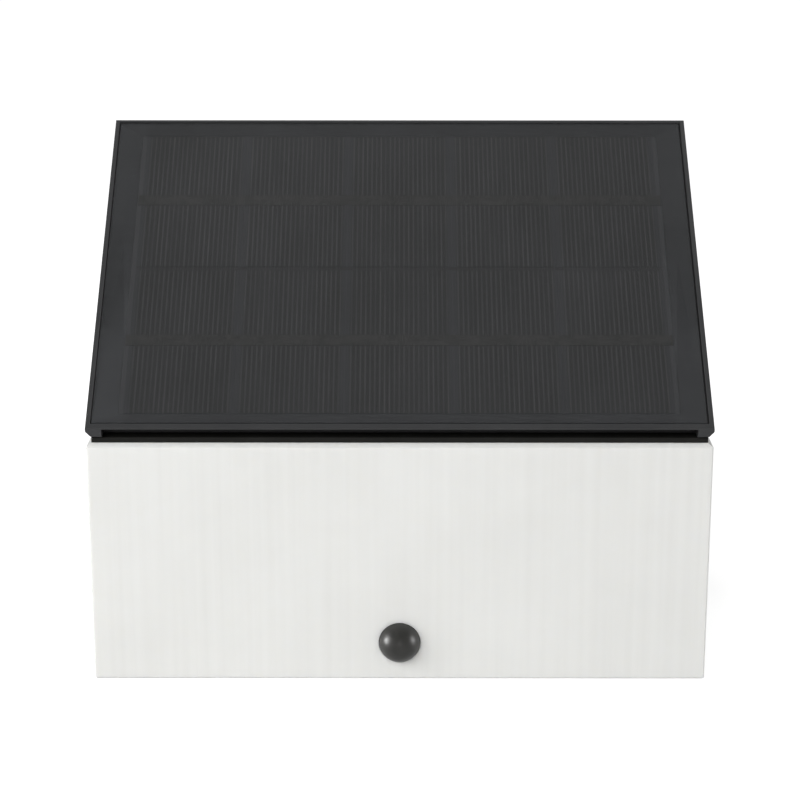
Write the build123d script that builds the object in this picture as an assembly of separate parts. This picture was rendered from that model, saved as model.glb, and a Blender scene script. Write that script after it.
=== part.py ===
"""Solar fence light: a black wedge roof with a solar panel over an opal box, hung on a wall bracket.

The wall is the plane y = 0 and the lamp stands out of it towards -y. Inside this file z = 0 is the
underside of the lamp; each piece is moved at the end so that the origin is midway between the two
wall screws. All sizes are in millimetres.
"""

import os
from math import acos, cos, radians, sin, sqrt, tan

from build123d import *

# Whole lamp
width = 178.0  # side to side
depth = 91.2  # wall to the front face
roof_slope = 38.87  # degrees from level
face_height = 71.75  # of the opal box
back_depth = 24.0  # of the black back, from the wall forwards

# Walls and fits
wall = 2.5
fit_gap = 0.3  # between casing pieces that are put together
seat_gap = 0.05  # where a piece rests on another one that moves
slide_gap = 0.1  # round a sliding plunger
edge_round = 0.35  # roof edges
box_round = 0.6  # lower and front corners of the opal box

# Groove between the roof and the box
deck_edge = 1.55  # height of the deck's visible edge
deck_inset = 1.5
shadow_gap = 2.75  # open height under the roof's front lip
lip_edge = 0.6
lip_reach = 6.0  # depth of the open slot
lip_run = 3.0  # the lip's underside falls over this length
lip_drop = 0.6
cheek = 4.6  # thickness of the roof's sides
cheek_foot = 0.6  # stands on the deck, in line with its edge
cheek_bevel_run = 1.5
cheek_bevel_rise = 1.5
box_bevel_run = 1.4
box_bevel_rise = 1.2

# Roof and solar panel
roof_thickness = 3.2
front_wall = 2.0
panel_rim = 1.4
panel_gap = 0.35  # all round, when the panel lies in the middle
panel_off_centre = 0.15  # to the left, as it was bonded
panel_recess = 1.4
adhesive_thickness = 0.2
adhesive_width = 8.0
backboard_thickness = 0.6
cover_thickness = 0.5
cover_pocket = 0.32  # depth of the room for the cells in the cover's underside
cell_columns = 5
cell_rows = 2
cell_side_margin = 10.5
cell_ridge_margin = 7.15  # along the roof, from the ridge to the cells
cell_eave_margin = 5.25  # and from the cells to the eave
cell_gap = 0.26
row_gap = 1.4
cell_thickness = 0.18
ribbon_width = 3.85
ribbon_overhang = 1.1
ribbon_thickness = 0.1

# Deck, tongues and seals
deck_thickness = 2.4
tongue = 2.0
tongue_reach = 3.6
seal_width = 1.4
seal_depth = 0.9
hood_seal_width = 1.2
hood_seal_height = 1.0

# Wall bracket and its hooks
screw_drop = 27.75  # wall screws below the box's top
screw_spacing = 80.0
screw_hole = 4.5
bracket_width = 110.0
bracket_height = 30.0
bracket_thickness = 1.5
bracket_corner = 3.0
head_room = 3.0  # for the heads of the wall screws
pocket_play = 0.5
hook_spacing = 48.0
hook_width = 12.0
hook_height = 8.0
hook_spare = 2.0  # lift beyond the hook's height

# Screws
screw_size = 3.0
screw_head = 5.6
screw_head_height = 1.9
screw_play = 0.1
shank_play = 0.4  # in a hole that a screw passes freely
boss_wall = 2.0
low_head_height = 1.3
small_screw = 2.2
small_head = 4.0
small_head_height = 1.3
cross_length_share = 0.6  # of the head
cross_width_share = 0.14
cross_depth_share = 0.5  # of the head's height

# Case screws, from the back into the opal box
case_screw_side = 10.0  # in from the side
case_screw_low = 9.5
case_screw_high = 10.0  # down from the box's top
case_well = 14.0  # depth of the screw's well
case_screw_length = 20.0
box_boss_length = 16.0
rib = 3.0

# Hood screws, from under the deck
hood_screw_side = 13.0
hood_screw_back = 14.0  # from the wall
hood_screw_front = 29.0  # from the front face
hood_screw_length = 14.0
hood_boss_height = 16.0

# Main board
board_clear = 2.2  # behind it, to the hooks
board_thickness = 1.6
board_width = 116.0
board_bottom = 18.5
board_head_room = 6.3  # under the deck
board_inset = 6.0
board_screw_length = 5.0

# Connectors and leads
connector_width = 7.5
connector_depth = 5.5
connector_height = 6.0
connector_drop = 20.0  # from the board's top edge to the connectors' mouths
battery_plug_x = -38.0
panel_plug_x = -50.0
led_plug_x = -20.0
lead_size = 1.6
lead_play = 0.2
lead_share = 0.45  # of the shorter run, for an arc

# Bends of the leads, chosen by hand
panel_lead_drop = 8.0  # straight down below the deck
panel_lead_bends = ((-6.0, 11.5), (0.0, 8.0))  # x and z from its plug's mouth
battery_lead_turn = ((9.0, 0.0), (3.0, -3.0), (0.0, -9.5))  # x and z from the grommet's bore, at the bay
battery_lead_drop = 9.0
battery_lead_bends = ((-9.0, 12.5), (0.0, 9.0))
led_lead_runs = (8.0, 9.0)  # straight out of each socket
pir_lead_bends = ((0.0, 9.0, 0.0), (3.0, 20.0, -3.0), (4.0, 33.0, -4.0))  # from the sensor's board
pir_lead_return = ((1.5, -11.0, -2.0), (0.0, -3.5, 0.0))  # from the reflector's front
pir_lead_rise = 3.6

# Lead grommet in the deck
grommet_inset = 10.0  # inwards from the hood's screw
grommet_hole = 10.0
grommet_flange = 13.0
grommet_lip = 1.0
grommet_pitch = 4.6

# Parts on the main board
chip_size = (9.0, 1.6, 6.0)
chip_places = ((10.0, 14.5), (24.0, 14.5), (24.0, 26.5))  # x, and down from the board's top
capacitor_size = 6.3
capacitor_height = 5.4
capacitor_places = ((40.0, 12.5), (48.0, 20.5))
inductor_size = 7.0
inductor_height = 4.0
inductor_corner = 0.9
inductor_place = (9.0, 28.5)

# Reflector and light board
reflector_thickness = 1.6
reflector_margin = 3.0
reflector_screw_side = 17.0
reflector_screw_low = 14.0
reflector_screw_high = 14.0  # down from the box's top
reflector_screw_length = 9.0
light_board_width = 132.0
light_board_height = 34.0
light_board_thickness = 1.6
light_board_rib = 1.2
light_board_screw_inset = 5.0
light_board_screw_length = 6.0
light_columns = 6
light_rows = 2
light_pitch_x = 22.0
light_pitch_z = 18.0
light_size = (3.5, 0.8, 2.8)
light_plug_x = 12.0
light_plug_rise = 9.0

# Battery bay, cell and door
bay_rise = 6.5  # above the deck
bay_wall = 2.0
bay_half_height = 11.0
cell_size = 18.3
battery_length = 65.0
nub_size = 5.5
nub_height = 0.9
contact_room = 3.9
contact_sheet = 0.4
contact_width = 8.0
contact_spread = 6.4  # half the depth of its flat back
contact_flat = 1.8  # half the depth of the bump that meets the cell
contact_fold = 1.2
tray_wall = 1.5
tray_ledge = 6.0
tray_ledge_x = 20.0
door_thickness = 2.2
door_sunk = 0.2
door_lap = 3.0  # of the door over its frame, above and below
door_ear = 11.0  # of the door past the bay, at each end
door_corner = 1.5
door_seal = 0.8
door_seal_width = 1.8
door_frame = 2.3
door_screw_length = 10.0

# Motion sensor behind its dome
dome_size = 11.9
dome_reach = 5.3
dome_wall = 0.9
dome_height = 11.35  # above the underside
dome_play = 0.15
flange_size = 14.4
flange_thickness = 1.0
holder_bore = 9.6
holder_length = 6.7
ear_reach = 15.2
ear_thickness = 2.0
ear_height = 5.4
sensor_screw_x = 12.5
sensor_boss = 5.4
sensor_boss_length = 4.2
sensor_screw_length = 5.4
sensor_can = 8.2
sensor_can_length = 4.2
sensor_rim = 9.1
sensor_rim_thickness = 0.6
sensor_sunk = 0.5  # from the lens flange to the can
pin_size = 0.5
pin_circle = 5.0
pin_past = 0.4
sensor_board_width = 14.0
sensor_board_height = 12.0
sensor_board_thickness = 1.2
sensor_grommet_flange = 6.0
sensor_grommet_neck = 4.0
sensor_hole_height = 10.0  # of the lead's hole in the reflector

# Power button in the underside
button_x = 40.0
button_size = 8.0
button_sunk = 0.2
button_cap = 5.8
button_stem = 4.0
button_travel = 0.8
shelf_rise = 9.0
shelf_thickness = 2.0
shelf_width = 12.0
shelf_past = 4.0
clip_size = 7.0
clip_thickness = 0.6
clip_groove = 3.0
clip_play = 0.05
stem_past_clip = 1.0
switch_width = 6.2
switch_depth = 4.4
switch_height = 5.0
switch_stem_size = 3.0
switch_stem_in = 1.0

# Derived places
over = 1.0  # cutting tools reach this far past what they cut
standing = (Align.CENTER, Align.CENTER, Align.MIN)
half = width / 2
slope = radians(roof_slope)
deck_top = face_height + deck_edge
lip_bottom = deck_top + shadow_gap
eave = lip_bottom + lip_edge
roof_length = depth / cos(slope)
roof_plane = Plane(origin=(0, -depth, eave), x_dir=(1, 0, 0), z_dir=(0, -sin(slope), cos(slope)))
roof_place = roof_plane.location * Pos(0, roof_length / 2, 0)
panel_place = roof_place * Pos(-panel_off_centre, 0, 0)
panel_width = width - 2 * (panel_rim + panel_gap)
panel_length = roof_length - 2 * (panel_rim + panel_gap)
cell_width = (width - 2 * cell_side_margin - (cell_columns - 1) * cell_gap) / cell_columns
cell_room = roof_length - cell_ridge_margin - cell_eave_margin
cell_length = (cell_room - (cell_rows - 1) * row_gap) / cell_rows
cell_place = panel_place * Pos(0, (cell_eave_margin - cell_ridge_margin) / 2, 0)
screw_bore = screw_size + 2 * screw_play
screw_clear = screw_size + shank_play
screw_boss = screw_size + 2 * boss_wall
well_boss = screw_head + 2 * boss_wall
small_bore = small_screw + 2 * screw_play
small_clear = small_screw + shank_play
small_boss = small_screw + 2 * boss_wall
lead_bore = lead_size + 2 * lead_play
cavity_half = half - cheek
foot_half = half - deck_inset
foot_top = deck_top + cheek_foot
cavity_front = -depth + lip_reach + front_wall
plug_half = half - wall - fit_gap
plug_front = depth - wall - fit_gap
plug_floor = wall + fit_gap
deck_under = deck_top - deck_thickness
screw_height = face_height - screw_drop
pocket_depth = bracket_thickness + head_room
pocket_front = -pocket_depth - wall
hook_back = pocket_front - fit_gap
hook_front = hook_back - bracket_thickness
lift = hook_height + hook_spare
bracket_low = screw_height - bracket_height / 2
bracket_high = screw_height + bracket_height / 2
pocket_low = bracket_low - lift - pocket_play
pocket_high = bracket_high + hook_height + pocket_play
pocket_half = bracket_width / 2 + pocket_play
grommet_x = -(half - hood_screw_side - grommet_inset)
grommet_y = -hood_screw_back
board_back = hook_front - board_clear
board_front = board_back - board_thickness
board_top = deck_under - board_head_room
connector_top = board_top - connector_drop
connector_y = board_front - connector_depth / 2
reflector_front = -back_depth
reflector_back = reflector_front + reflector_thickness
light_board_z = (reflector_screw_low + face_height - reflector_screw_high) / 2
light_board_front = reflector_front - light_board_thickness
bay_floor = deck_top + bay_rise
battery_z = bay_floor + bay_wall + bay_half_height
battery_radius = cell_size / 2
rebate = door_sunk + door_thickness + door_seal
battery_y = -(rebate + door_frame + fit_gap + battery_radius)
tray_back = battery_y - battery_radius - fit_gap
tray_front = tray_back - tray_wall
tray_half = battery_length / 2 + contact_room + tray_wall
bay_half = tray_half + fit_gap
door_half = bay_half + door_ear
door_screw_x = bay_half + door_ear / 2 + door_seal_width / 2
front_inside = -depth + wall
button_y = board_front - switch_depth / 2
shelf_top = shelf_rise + shelf_thickness
clip_low = shelf_top + seat_gap
button_top = clip_low + clip_thickness + stem_past_clip


def block(x, y, z):
    """A box between three (low, high) pairs."""
    return Pos((x[0] + x[1]) / 2, (y[0] + y[1]) / 2, (z[0] + z[1]) / 2) * Box(
        x[1] - x[0], y[1] - y[0], z[1] - z[0]
    )


def both(reach):
    """The same distance each side of the middle."""
    return (-reach, reach)


def around(middle, size):
    return (middle - size / 2, middle + size / 2)


def rod(start, end, diameter):
    """A round bar from one point to another."""
    axis = Vector(*end) - Vector(*start)
    bar = Cylinder(diameter / 2, axis.length, align=standing)
    return Plane(origin=start, z_dir=axis).location * bar


def across(outline, x):
    """A prism across the lamp from its (y, z) outline."""
    face = make_face(Plane.YZ.offset(x[0]) * Polyline(*outline, close=True))
    return extrude(face, amount=x[1] - x[0], dir=(1, 0, 0))


def forwards(outline, y):
    """A prism along the lamp's depth from its (x, z) outline."""
    start = Plane(origin=(0, y[1], 0), x_dir=(1, 0, 0), z_dir=(0, -1, 0))
    return extrude(make_face(start * Polyline(*outline, close=True)), amount=y[1] - y[0], dir=(0, -1, 0))


def group(solids):
    return Compound(children=[piece.solid() for piece in solids])


def screw(seat, towards, length, size=screw_size, head=screw_head, head_height=screw_head_height):
    """A screw whose head sits on seat and whose shank points towards."""
    piece = Cylinder(size / 2, length, align=standing)
    piece += Pos(0, 0, -head_height) * Cylinder(head / 2, head_height, align=standing)
    cross = (head * cross_length_share, head * cross_width_share, head_height * cross_depth_share)
    for turn in (0, 90):
        piece -= Rot(0, 0, turn) * Pos(0, 0, -head_height) * Box(*cross, align=standing)
    return Plane(origin=seat, z_dir=towards).location * piece


def roof_at(y):
    return eave + (y + depth) * tan(slope)


def ceiling_at(y):
    return roof_at(y) - roof_thickness / cos(slope)


def on_roof(x, y, low, high, place=panel_place):
    """A plate of x by y on the roof, between two heights above its surface."""
    return place * Pos(0, 0, low) * Box(x, y, high - low, align=standing)


def deck_ring(out, inn, z, end):
    """A band round the sides and front of the deck's plug, out and inn past its faces."""
    outer = block(both(plug_half + out), (-plug_front - out, end), z)
    inner = block(both(plug_half + inn), (-plug_front - inn, end + over), (z[0] - over, z[1] + over))
    return outer - inner


def back_ring(out, inn, y, end):
    """A band round the sides and bottom of the back's plug, out and inn past its faces."""
    outer = block(both(plug_half + out), y, (plug_floor - out, end))
    inner = block(both(plug_half + inn), (y[0] - over, y[1] + over), (plug_floor - inn, end + over))
    return outer - inner


def case_screw_places():
    for side in (-1, 1):
        for z in (case_screw_low, face_height - case_screw_high):
            yield side * (half - case_screw_side), z


def hood_screw_places():
    for side in (-1, 1):
        for y in (-hood_screw_back, -depth + hood_screw_front):
            yield side * (half - hood_screw_side), y


def reflector_screw_places():
    for side in (-1, 1):
        for z in (reflector_screw_low, face_height - reflector_screw_high):
            yield side * (half - reflector_screw_side), z


def board_screw_places():
    for side in (-1, 1):
        for z in (board_bottom + board_inset, board_top - board_inset):
            yield side * (board_width / 2 - board_inset), z


def box_bevels(y_back, front):
    """The slanting cuts along the box's upper outer edges."""
    cuts = []
    top = face_height
    for side in (-1, 1):
        corner = [
            (side * (half - box_bevel_run), top),
            (side * half, top - box_bevel_rise),
            (side * (half + over), top - box_bevel_rise),
            (side * (half + over), top + over),
            (side * (half - box_bevel_run), top + over),
        ]
        cuts.append(forwards(corner, (-depth - over, y_back)))
    if front:
        corner = [
            (-depth + box_bevel_run, top),
            (-depth, top - box_bevel_rise),
            (-depth - over, top - box_bevel_rise),
            (-depth - over, top + over),
            (-depth + box_bevel_run, top + over),
        ]
        cuts.append(across(corner, both(half + over)))
    return cuts


# Casing


def make_hood():
    """Wedge roof: rimmed recess for the panel, cheeks, slot under the lip, battery bay at the back."""
    outline = [(0, deck_top), (0, roof_at(0)), (-depth, eave), (-depth, deck_top)]
    piece = across(outline, both(half))
    top = piece.faces().sort_by(Axis((0, 0, 0), roof_plane.z_dir))[-1]
    piece = fillet(top.edges(), edge_round)
    for side in (-1, 1):
        bevel = [
            (side * half, foot_top + cheek_bevel_rise),
            (side * (half - cheek_bevel_run), foot_top),
            (side * (half + over), foot_top),
            (side * (half + over), foot_top + cheek_bevel_rise),
        ]
        piece -= forwards(bevel, (-depth - over, over))
    below = (deck_top - over, foot_top)
    foot = block(both(foot_half), (-depth + deck_inset, 2 * over), (below[0] - over, below[1] + over))
    piece -= block(both(half + over), (-depth - over, over), below) - foot
    piece -= across(
        [
            (-wall, deck_top - over),
            (-wall, ceiling_at(-wall)),
            (cavity_front, ceiling_at(cavity_front)),
            (cavity_front, deck_top - over),
        ],
        both(cavity_half),
    )
    slot = [
        (-depth - over, deck_top - over),
        (-depth - over, lip_bottom),
        (-depth, lip_bottom),
        (-depth + lip_run, lip_bottom - lip_drop),
        (-depth + lip_reach, lip_bottom - lip_drop),
        (-depth + lip_reach, deck_top - over),
    ]
    piece -= across(slot, both(cavity_half))
    recess = (width - 2 * panel_rim, roof_length - 2 * panel_rim, -panel_recess, over)
    piece -= on_roof(*recess, roof_place)
    # battery bay and door frame
    frame_half = door_half + fit_gap + wall
    frame_height = bay_half_height + bay_wall + door_lap + wall
    piece += block(both(frame_half), (-rebate - door_frame, -wall / 2), around(battery_z, 2 * frame_height))
    piece += block(
        both(bay_half + bay_wall),
        (tray_front - fit_gap - bay_wall, -wall),
        around(battery_z, 2 * (bay_half_height + bay_wall)),
    )
    for side in (-1, 1):
        at = side * door_screw_x
        boss_end = -door_sunk - low_head_height - door_screw_length - boss_wall
        piece += rod((at, -wall, battery_z), (at, boss_end, battery_z), screw_boss)
    piece -= block(
        both(door_half + fit_gap),
        (-rebate, over),
        around(battery_z, 2 * (bay_half_height + bay_wall + door_lap + fit_gap)),
    )
    piece -= block(both(bay_half), (tray_front - fit_gap, over), around(battery_z, 2 * bay_half_height))
    for side in (-1, 1):
        at = side * door_screw_x
        end = -door_sunk - low_head_height - door_screw_length - fit_gap
        piece -= rod((at, 0, battery_z), (at, end, battery_z), screw_bore)
    piece -= rod(
        (-bay_half + over, battery_y, battery_z),
        (-bay_half - bay_wall - over, battery_y, battery_z),
        lead_bore,
    )
    # screw bosses, tied to the sides
    for x, y in hood_screw_places():
        side = 1 if x > 0 else -1
        top_z = min(deck_top + hood_boss_height, ceiling_at(y) + over)
        rib_x = tuple(sorted((x, side * (cavity_half + over))))
        piece += rod((x, y, deck_top), (x, y, top_z), screw_boss)
        piece += block(rib_x, around(y, rib), (deck_top + fit_gap, top_z)) - rod(
            (x, y, deck_top - over), (x, y, top_z + over), screw_boss
        )
        screw_end = deck_under + hood_screw_length + fit_gap
        piece -= rod((x, y, deck_top - over), (x, y, screw_end), screw_bore)
    # seal groove and the hole for the panel's lead
    piece -= hood_seal_band(hood_seal_width + 2 * seat_gap, hood_seal_height + seat_gap, -over)
    start, inward = panel_lead_start()
    piece -= rod(start - inward * over, start + inward * (roof_thickness + over), lead_bore)
    return piece


def hood_seal_band(strip, height, low):
    """The closed band in which the hood's seal lies."""
    x_mid = (cavity_half + foot_half) / 2
    y_back = -wall / 2
    y_front = -depth + lip_reach + front_wall / 2
    z = (deck_top + low, deck_top + height)
    outer = block(both(x_mid + strip / 2), (y_front - strip / 2, y_back + strip / 2), z)
    inner = block(
        both(x_mid - strip / 2), (y_front + strip / 2, y_back - strip / 2), (z[0] - over, z[1] + over)
    )
    return outer - inner


def make_hood_seal():
    return hood_seal_band(hood_seal_width, hood_seal_height, 0)


def make_chassis():
    """Black back with the wall pocket, and the deck whose edge shows under the roof."""
    piece = block(both(half), (-back_depth, 0), (0, face_height))
    for cut in box_bevels(over, front=False):
        piece -= cut
    piece -= block(both(half - wall), (-back_depth - over, -wall), (wall, deck_under))
    piece += block(both(foot_half), (-depth + deck_inset, 0), (face_height, deck_top))
    piece += block(both(plug_half), (-plug_front, -wall / 2), (deck_under, face_height))
    low_tongue = (deck_under - tongue_reach, deck_under)
    piece += deck_ring(0, -tongue, low_tongue, -back_depth)
    piece += back_ring(0, -tongue, (-back_depth - tongue_reach, -back_depth), deck_under)
    piece += back_ring(fit_gap + wall / 2, -tongue, (-back_depth, -back_depth + tongue_reach), deck_under)
    groove_z, groove_y = seal_lanes()
    piece -= deck_ring(fit_gap, -seal_depth, groove_z, -back_depth)
    piece -= back_ring(fit_gap, -seal_depth, groove_y, groove_z[1])
    # pocket for the bracket, with the slots for its hooks
    pocket_z = (pocket_low, pocket_high)
    shell_z = (pocket_low - wall, min(pocket_high + wall, face_height))
    piece += block(both(pocket_half + wall), (pocket_front, -wall / 2), shell_z)
    piece -= block(both(pocket_half), (-pocket_depth, over), pocket_z)
    for side in (-1, 1):
        slot_x = around(side * hook_spacing / 2, hook_width + 2 * pocket_play)
        slot_z = (bracket_high - bracket_thickness - lift - pocket_play, bracket_high + seat_gap)
        piece -= block(slot_x, (pocket_front - over, 0), slot_z)
    # posts for the boards and wells for the case screws
    for x, z in board_screw_places():
        piece += rod((x, pocket_front + wall / 2, z), (x, board_back, z), small_boss)
        piece -= rod((x, pocket_front, z), (x, board_back - over, z), small_bore)
    for x, z in reflector_screw_places():
        piece += rod((x, -wall / 2, z), (x, reflector_back, z), screw_boss)
        end = reflector_front + reflector_screw_length + fit_gap
        piece -= rod((x, reflector_back - over, z), (x, end, z), screw_bore)
    for x, z in case_screw_places():
        piece += rod((x, -wall / 2, z), (x, -back_depth, z), well_boss)
        piece -= rod((x, over, z), (x, -case_well, z), screw_head + 2 * shank_play)
        piece -= rod((x, 0, z), (x, -back_depth - over, z), screw_clear)
    for x, y in hood_screw_places():
        piece -= rod((x, y, deck_under - over), (x, y, deck_top + over), screw_clear)
    piece -= rod(
        (grommet_x, grommet_y, deck_under - over), (grommet_x, grommet_y, deck_top + over), grommet_hole
    )
    # button hole and the shelf that guides its stem
    shelf_y = (button_y - shelf_past, -wall / 2)
    piece += block(around(button_x, shelf_width), shelf_y, (shelf_rise, shelf_top))
    piece -= rod((button_x, button_y, -over), (button_x, button_y, wall + over), button_size + 2 * slide_gap)
    piece -= rod(
        (button_x, button_y, shelf_rise - over),
        (button_x, button_y, shelf_top + over),
        button_stem + 2 * slide_gap,
    )
    return piece


def seal_lanes():
    """Where the box's seal runs: its height under the deck, and its depth in front of the back."""
    z_mid = deck_under - tongue_reach / 2
    y_mid = -back_depth - tongue_reach / 2
    return around(z_mid, seal_width), around(y_mid, seal_width)


def make_diffuser():
    """Opal box: front, sides and bottom, with screw bosses and the hole for the dome."""
    piece = block(both(half), (-depth, -back_depth), (0, face_height))
    front = piece.faces().sort_by(Axis.Y)[0]
    bottom = piece.faces().sort_by(Axis.Z)[0]
    edges = front.edges().filter_by(Axis.Z) + bottom.edges().filter_by(Axis.Y)
    edges += bottom.edges().filter_by(Axis.X).sort_by(Axis.Y)[:1]
    piece = fillet(edges, box_round)
    for cut in box_bevels(-back_depth + over, front=True):
        piece -= cut
    piece -= block(both(half - wall), (front_inside, -back_depth + over), (wall, face_height + over))
    for x, z in case_screw_places():
        side = 1 if x > 0 else -1
        start, end = -back_depth - seat_gap, -back_depth - box_boss_length
        post = rod((x, start, z), (x, end, z), screw_boss)
        rib_y = (end, -back_depth - tongue_reach - fit_gap)
        post += block(tuple(sorted((x, side * (half - wall / 2)))), rib_y, around(z, rib))
        piece += post
        reach = -case_well - case_screw_length - fit_gap
        piece -= rod((x, 0, z), (x, reach, z), screw_bore)
    for side in (-1, 1):
        x = side * sensor_screw_x
        boss_end = front_inside + sensor_boss_length
        piece += rod((x, -depth + wall / 2, dome_height), (x, boss_end, dome_height), sensor_boss)
        reach = boss_end + ear_thickness - sensor_screw_length - fit_gap
        piece -= rod((x, boss_end + over, dome_height), (x, reach, dome_height), small_bore)
    hole = dome_size + 2 * dome_play
    piece -= rod((0, -depth - over, dome_height), (0, front_inside + over, dome_height), hole)
    return piece


def make_diffuser_seal():
    lane_z, lane_y = seal_lanes()
    z = (lane_z[0] + seat_gap, lane_z[1] - seat_gap)
    y = (lane_y[0] + seat_gap, lane_y[1] - seat_gap)
    out, inn = fit_gap - seat_gap, -seal_depth + seat_gap
    return deck_ring(out, inn, z, y[1]) + back_ring(out, inn, y, z[1])


def make_case_screws():
    return group(
        screw((x, -case_well, z), (0, -1, 0), case_screw_length) for x, z in case_screw_places()
    )


def make_hood_screws():
    return group(screw((x, y, deck_under), (0, 0, 1), hood_screw_length) for x, y in hood_screw_places())


# Solar panel


def make_panel_adhesive():
    low, high = -panel_recess, -panel_recess + adhesive_thickness
    outer = on_roof(panel_width, panel_length, low, high)
    return outer - on_roof(
        panel_width - 2 * adhesive_width, panel_length - 2 * adhesive_width, low - over, high + over
    )


def board_low():
    """The underside of the panel's backboard, from the roof's surface."""
    return -panel_recess + adhesive_thickness


def make_panel_backboard():
    return on_roof(panel_width, panel_length, board_low(), board_low() + backboard_thickness)


def cell_centres():
    for row in range(cell_rows):
        for column in range(cell_columns):
            x = (column - (cell_columns - 1) / 2) * (cell_width + cell_gap)
            y = (row - (cell_rows - 1) / 2) * (cell_length + row_gap)
            yield x, y


def make_solar_cells():
    low = board_low() + backboard_thickness
    cell = Box(cell_width, cell_length, cell_thickness, align=standing)
    return group(cell_place * Pos(x, y, low) * cell for x, y in cell_centres())


def ribbon_length():
    return cell_columns * cell_width + (cell_columns - 1) * cell_gap + 2 * ribbon_overhang


def make_bus_ribbons():
    low = board_low() + backboard_thickness + cell_thickness
    flat = Box(ribbon_length(), ribbon_width, ribbon_thickness, align=standing)
    rows = sorted({y for x, y in cell_centres()})
    return group(cell_place * Pos(0, y, low) * flat for y in rows)


def make_panel_cover():
    low = board_low() + backboard_thickness
    piece = on_roof(panel_width, panel_length, low, low + cover_thickness)
    pocket = (low - over, low + cover_pocket)
    return piece - on_roof(ribbon_length() + fit_gap, cell_room + fit_gap, *pocket, cell_place)


def panel_lead_start():
    """Where the panel's lead leaves the backboard, and its direction into the roof."""
    inward = Vector(0, sin(slope), -cos(slope))
    bend = Vector(grommet_x - grommet_pitch / 2, grommet_y, battery_z)
    surface_gap = (roof_at(grommet_y) - battery_z) * cos(slope)
    return bend - inward * (surface_gap + board_low()), inward


# Back: reflector, light board and main board


def make_reflector():
    piece = block(
        both(plug_half - tongue - reflector_margin / 2),
        (reflector_front, reflector_back),
        (plug_floor + tongue + reflector_margin / 2, deck_under - tongue_reach - reflector_margin / 2),
    )
    board_x = both(light_board_width / 2 + fit_gap)
    board_z = around(light_board_z, light_board_height + 2 * fit_gap)
    rim_x = both(board_x[1] + light_board_rib)
    rim_z = (board_z[0] - light_board_rib, board_z[1] + light_board_rib)
    rim = block(rim_x, (reflector_front - light_board_thickness, reflector_front), rim_z)
    piece += rim - block(board_x, (reflector_front - light_board_thickness - over, reflector_front), board_z)
    for x, z in case_screw_places():
        clear = well_boss + 2 * fit_gap
        piece -= rod((x, reflector_back + over, z), (x, reflector_front - over, z), clear)
        corner_x = tuple(sorted((x, half if x > 0 else -half)))
        corner_z = (0, z) if z < face_height / 2 else (z, face_height)
        piece -= block(corner_x, (reflector_front - over, reflector_back + over), corner_z)
    for x, z in reflector_screw_places():
        piece -= rod((x, reflector_back + over, z), (x, reflector_front - over, z), screw_clear)
    for x, z in light_board_screw_places():
        piece += rod((x, reflector_front, z), (x, light_boss_end(), z), small_boss)
        piece -= rod((x, reflector_front - over, z), (x, light_boss_end() + over, z), small_bore)
    plug_x = around(light_plug_x, connector_width + 2 * fit_gap)
    plug_z = around(light_board_z + light_plug_rise, connector_height + 2 * fit_gap)
    piece -= block(plug_x, (reflector_front - over, reflector_back + over), plug_z)
    hole = sensor_grommet_neck + 2 * seat_gap
    z = sensor_hole_height
    return piece - rod((0, reflector_back + over, z), (0, reflector_front - over, z), hole)


def light_boss_end():
    return light_board_front + light_board_screw_length


def light_board_screw_places():
    for side in (-1, 1):
        yield side * (light_board_width / 2 - light_board_screw_inset), light_board_z


def light_places():
    for column in range(light_columns):
        for row in range(light_rows):
            x = (column - (light_columns - 1) / 2) * light_pitch_x
            z = light_board_z + (row - (light_rows - 1) / 2) * light_pitch_z
            yield x, z


def make_led_board():
    piece = block(
        both(light_board_width / 2),
        (light_board_front, reflector_front),
        around(light_board_z, light_board_height),
    )
    for x, z in light_board_screw_places():
        piece -= rod((x, reflector_front + over, z), (x, light_board_front - over, z), small_clear)
    return piece


def make_leds():
    y = (light_board_front - light_size[1], light_board_front)
    return group(block(around(x, light_size[0]), y, around(z, light_size[2])) for x, z in light_places())


def make_led_board_screws():
    return group(
        screw((x, light_board_front, z), (0, 1, 0), light_board_screw_length, small_screw, small_head,
              small_head_height)
        for x, z in light_board_screw_places()
    )


def make_led_connector():
    return block(
        around(light_plug_x, connector_width),
        (reflector_front, reflector_front + connector_depth),
        around(light_board_z + light_plug_rise, connector_height),
    )


def make_reflector_screws():
    return group(
        screw((x, reflector_front, z), (0, 1, 0), reflector_screw_length) for x, z in reflector_screw_places()
    )


def make_main_board():
    piece = block(both(board_width / 2), (board_front, board_back), (board_bottom, board_top))
    for x, z in board_screw_places():
        piece -= rod((x, board_back + over, z), (x, board_front - over, z), small_clear)
    return piece


def make_main_board_screws():
    return group(
        screw((x, board_front, z), (0, 1, 0), board_screw_length, small_screw, small_head, small_head_height)
        for x, z in board_screw_places()
    )


def make_charge_chips():
    y = (board_front - chip_size[1], board_front)
    return group(
        block(around(x, chip_size[0]), y, around(board_top - down, chip_size[2])) for x, down in chip_places
    )


def make_capacitors():
    end = board_front - capacitor_height
    return group(
        rod((x, board_front, board_top - down), (x, end, board_top - down), capacitor_size)
        for x, down in capacitor_places
    )


def make_inductor():
    x, down = inductor_place
    y = (board_front - inductor_height, board_front)
    piece = block(around(x, inductor_size), y, around(board_top - down, inductor_size))
    return chamfer(piece.edges().filter_by(Axis.Y), inductor_corner)


def make_board_connectors():
    y = (board_front - connector_depth, board_front)
    sockets = [
        block(around(x, connector_width), y, (connector_top - connector_height, connector_top))
        for x in (battery_plug_x, panel_plug_x, led_plug_x)
    ]
    sockets.append(block(around(0, connector_width), y, (board_bottom, board_bottom + connector_height)))
    return group(sockets)


# Battery


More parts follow.
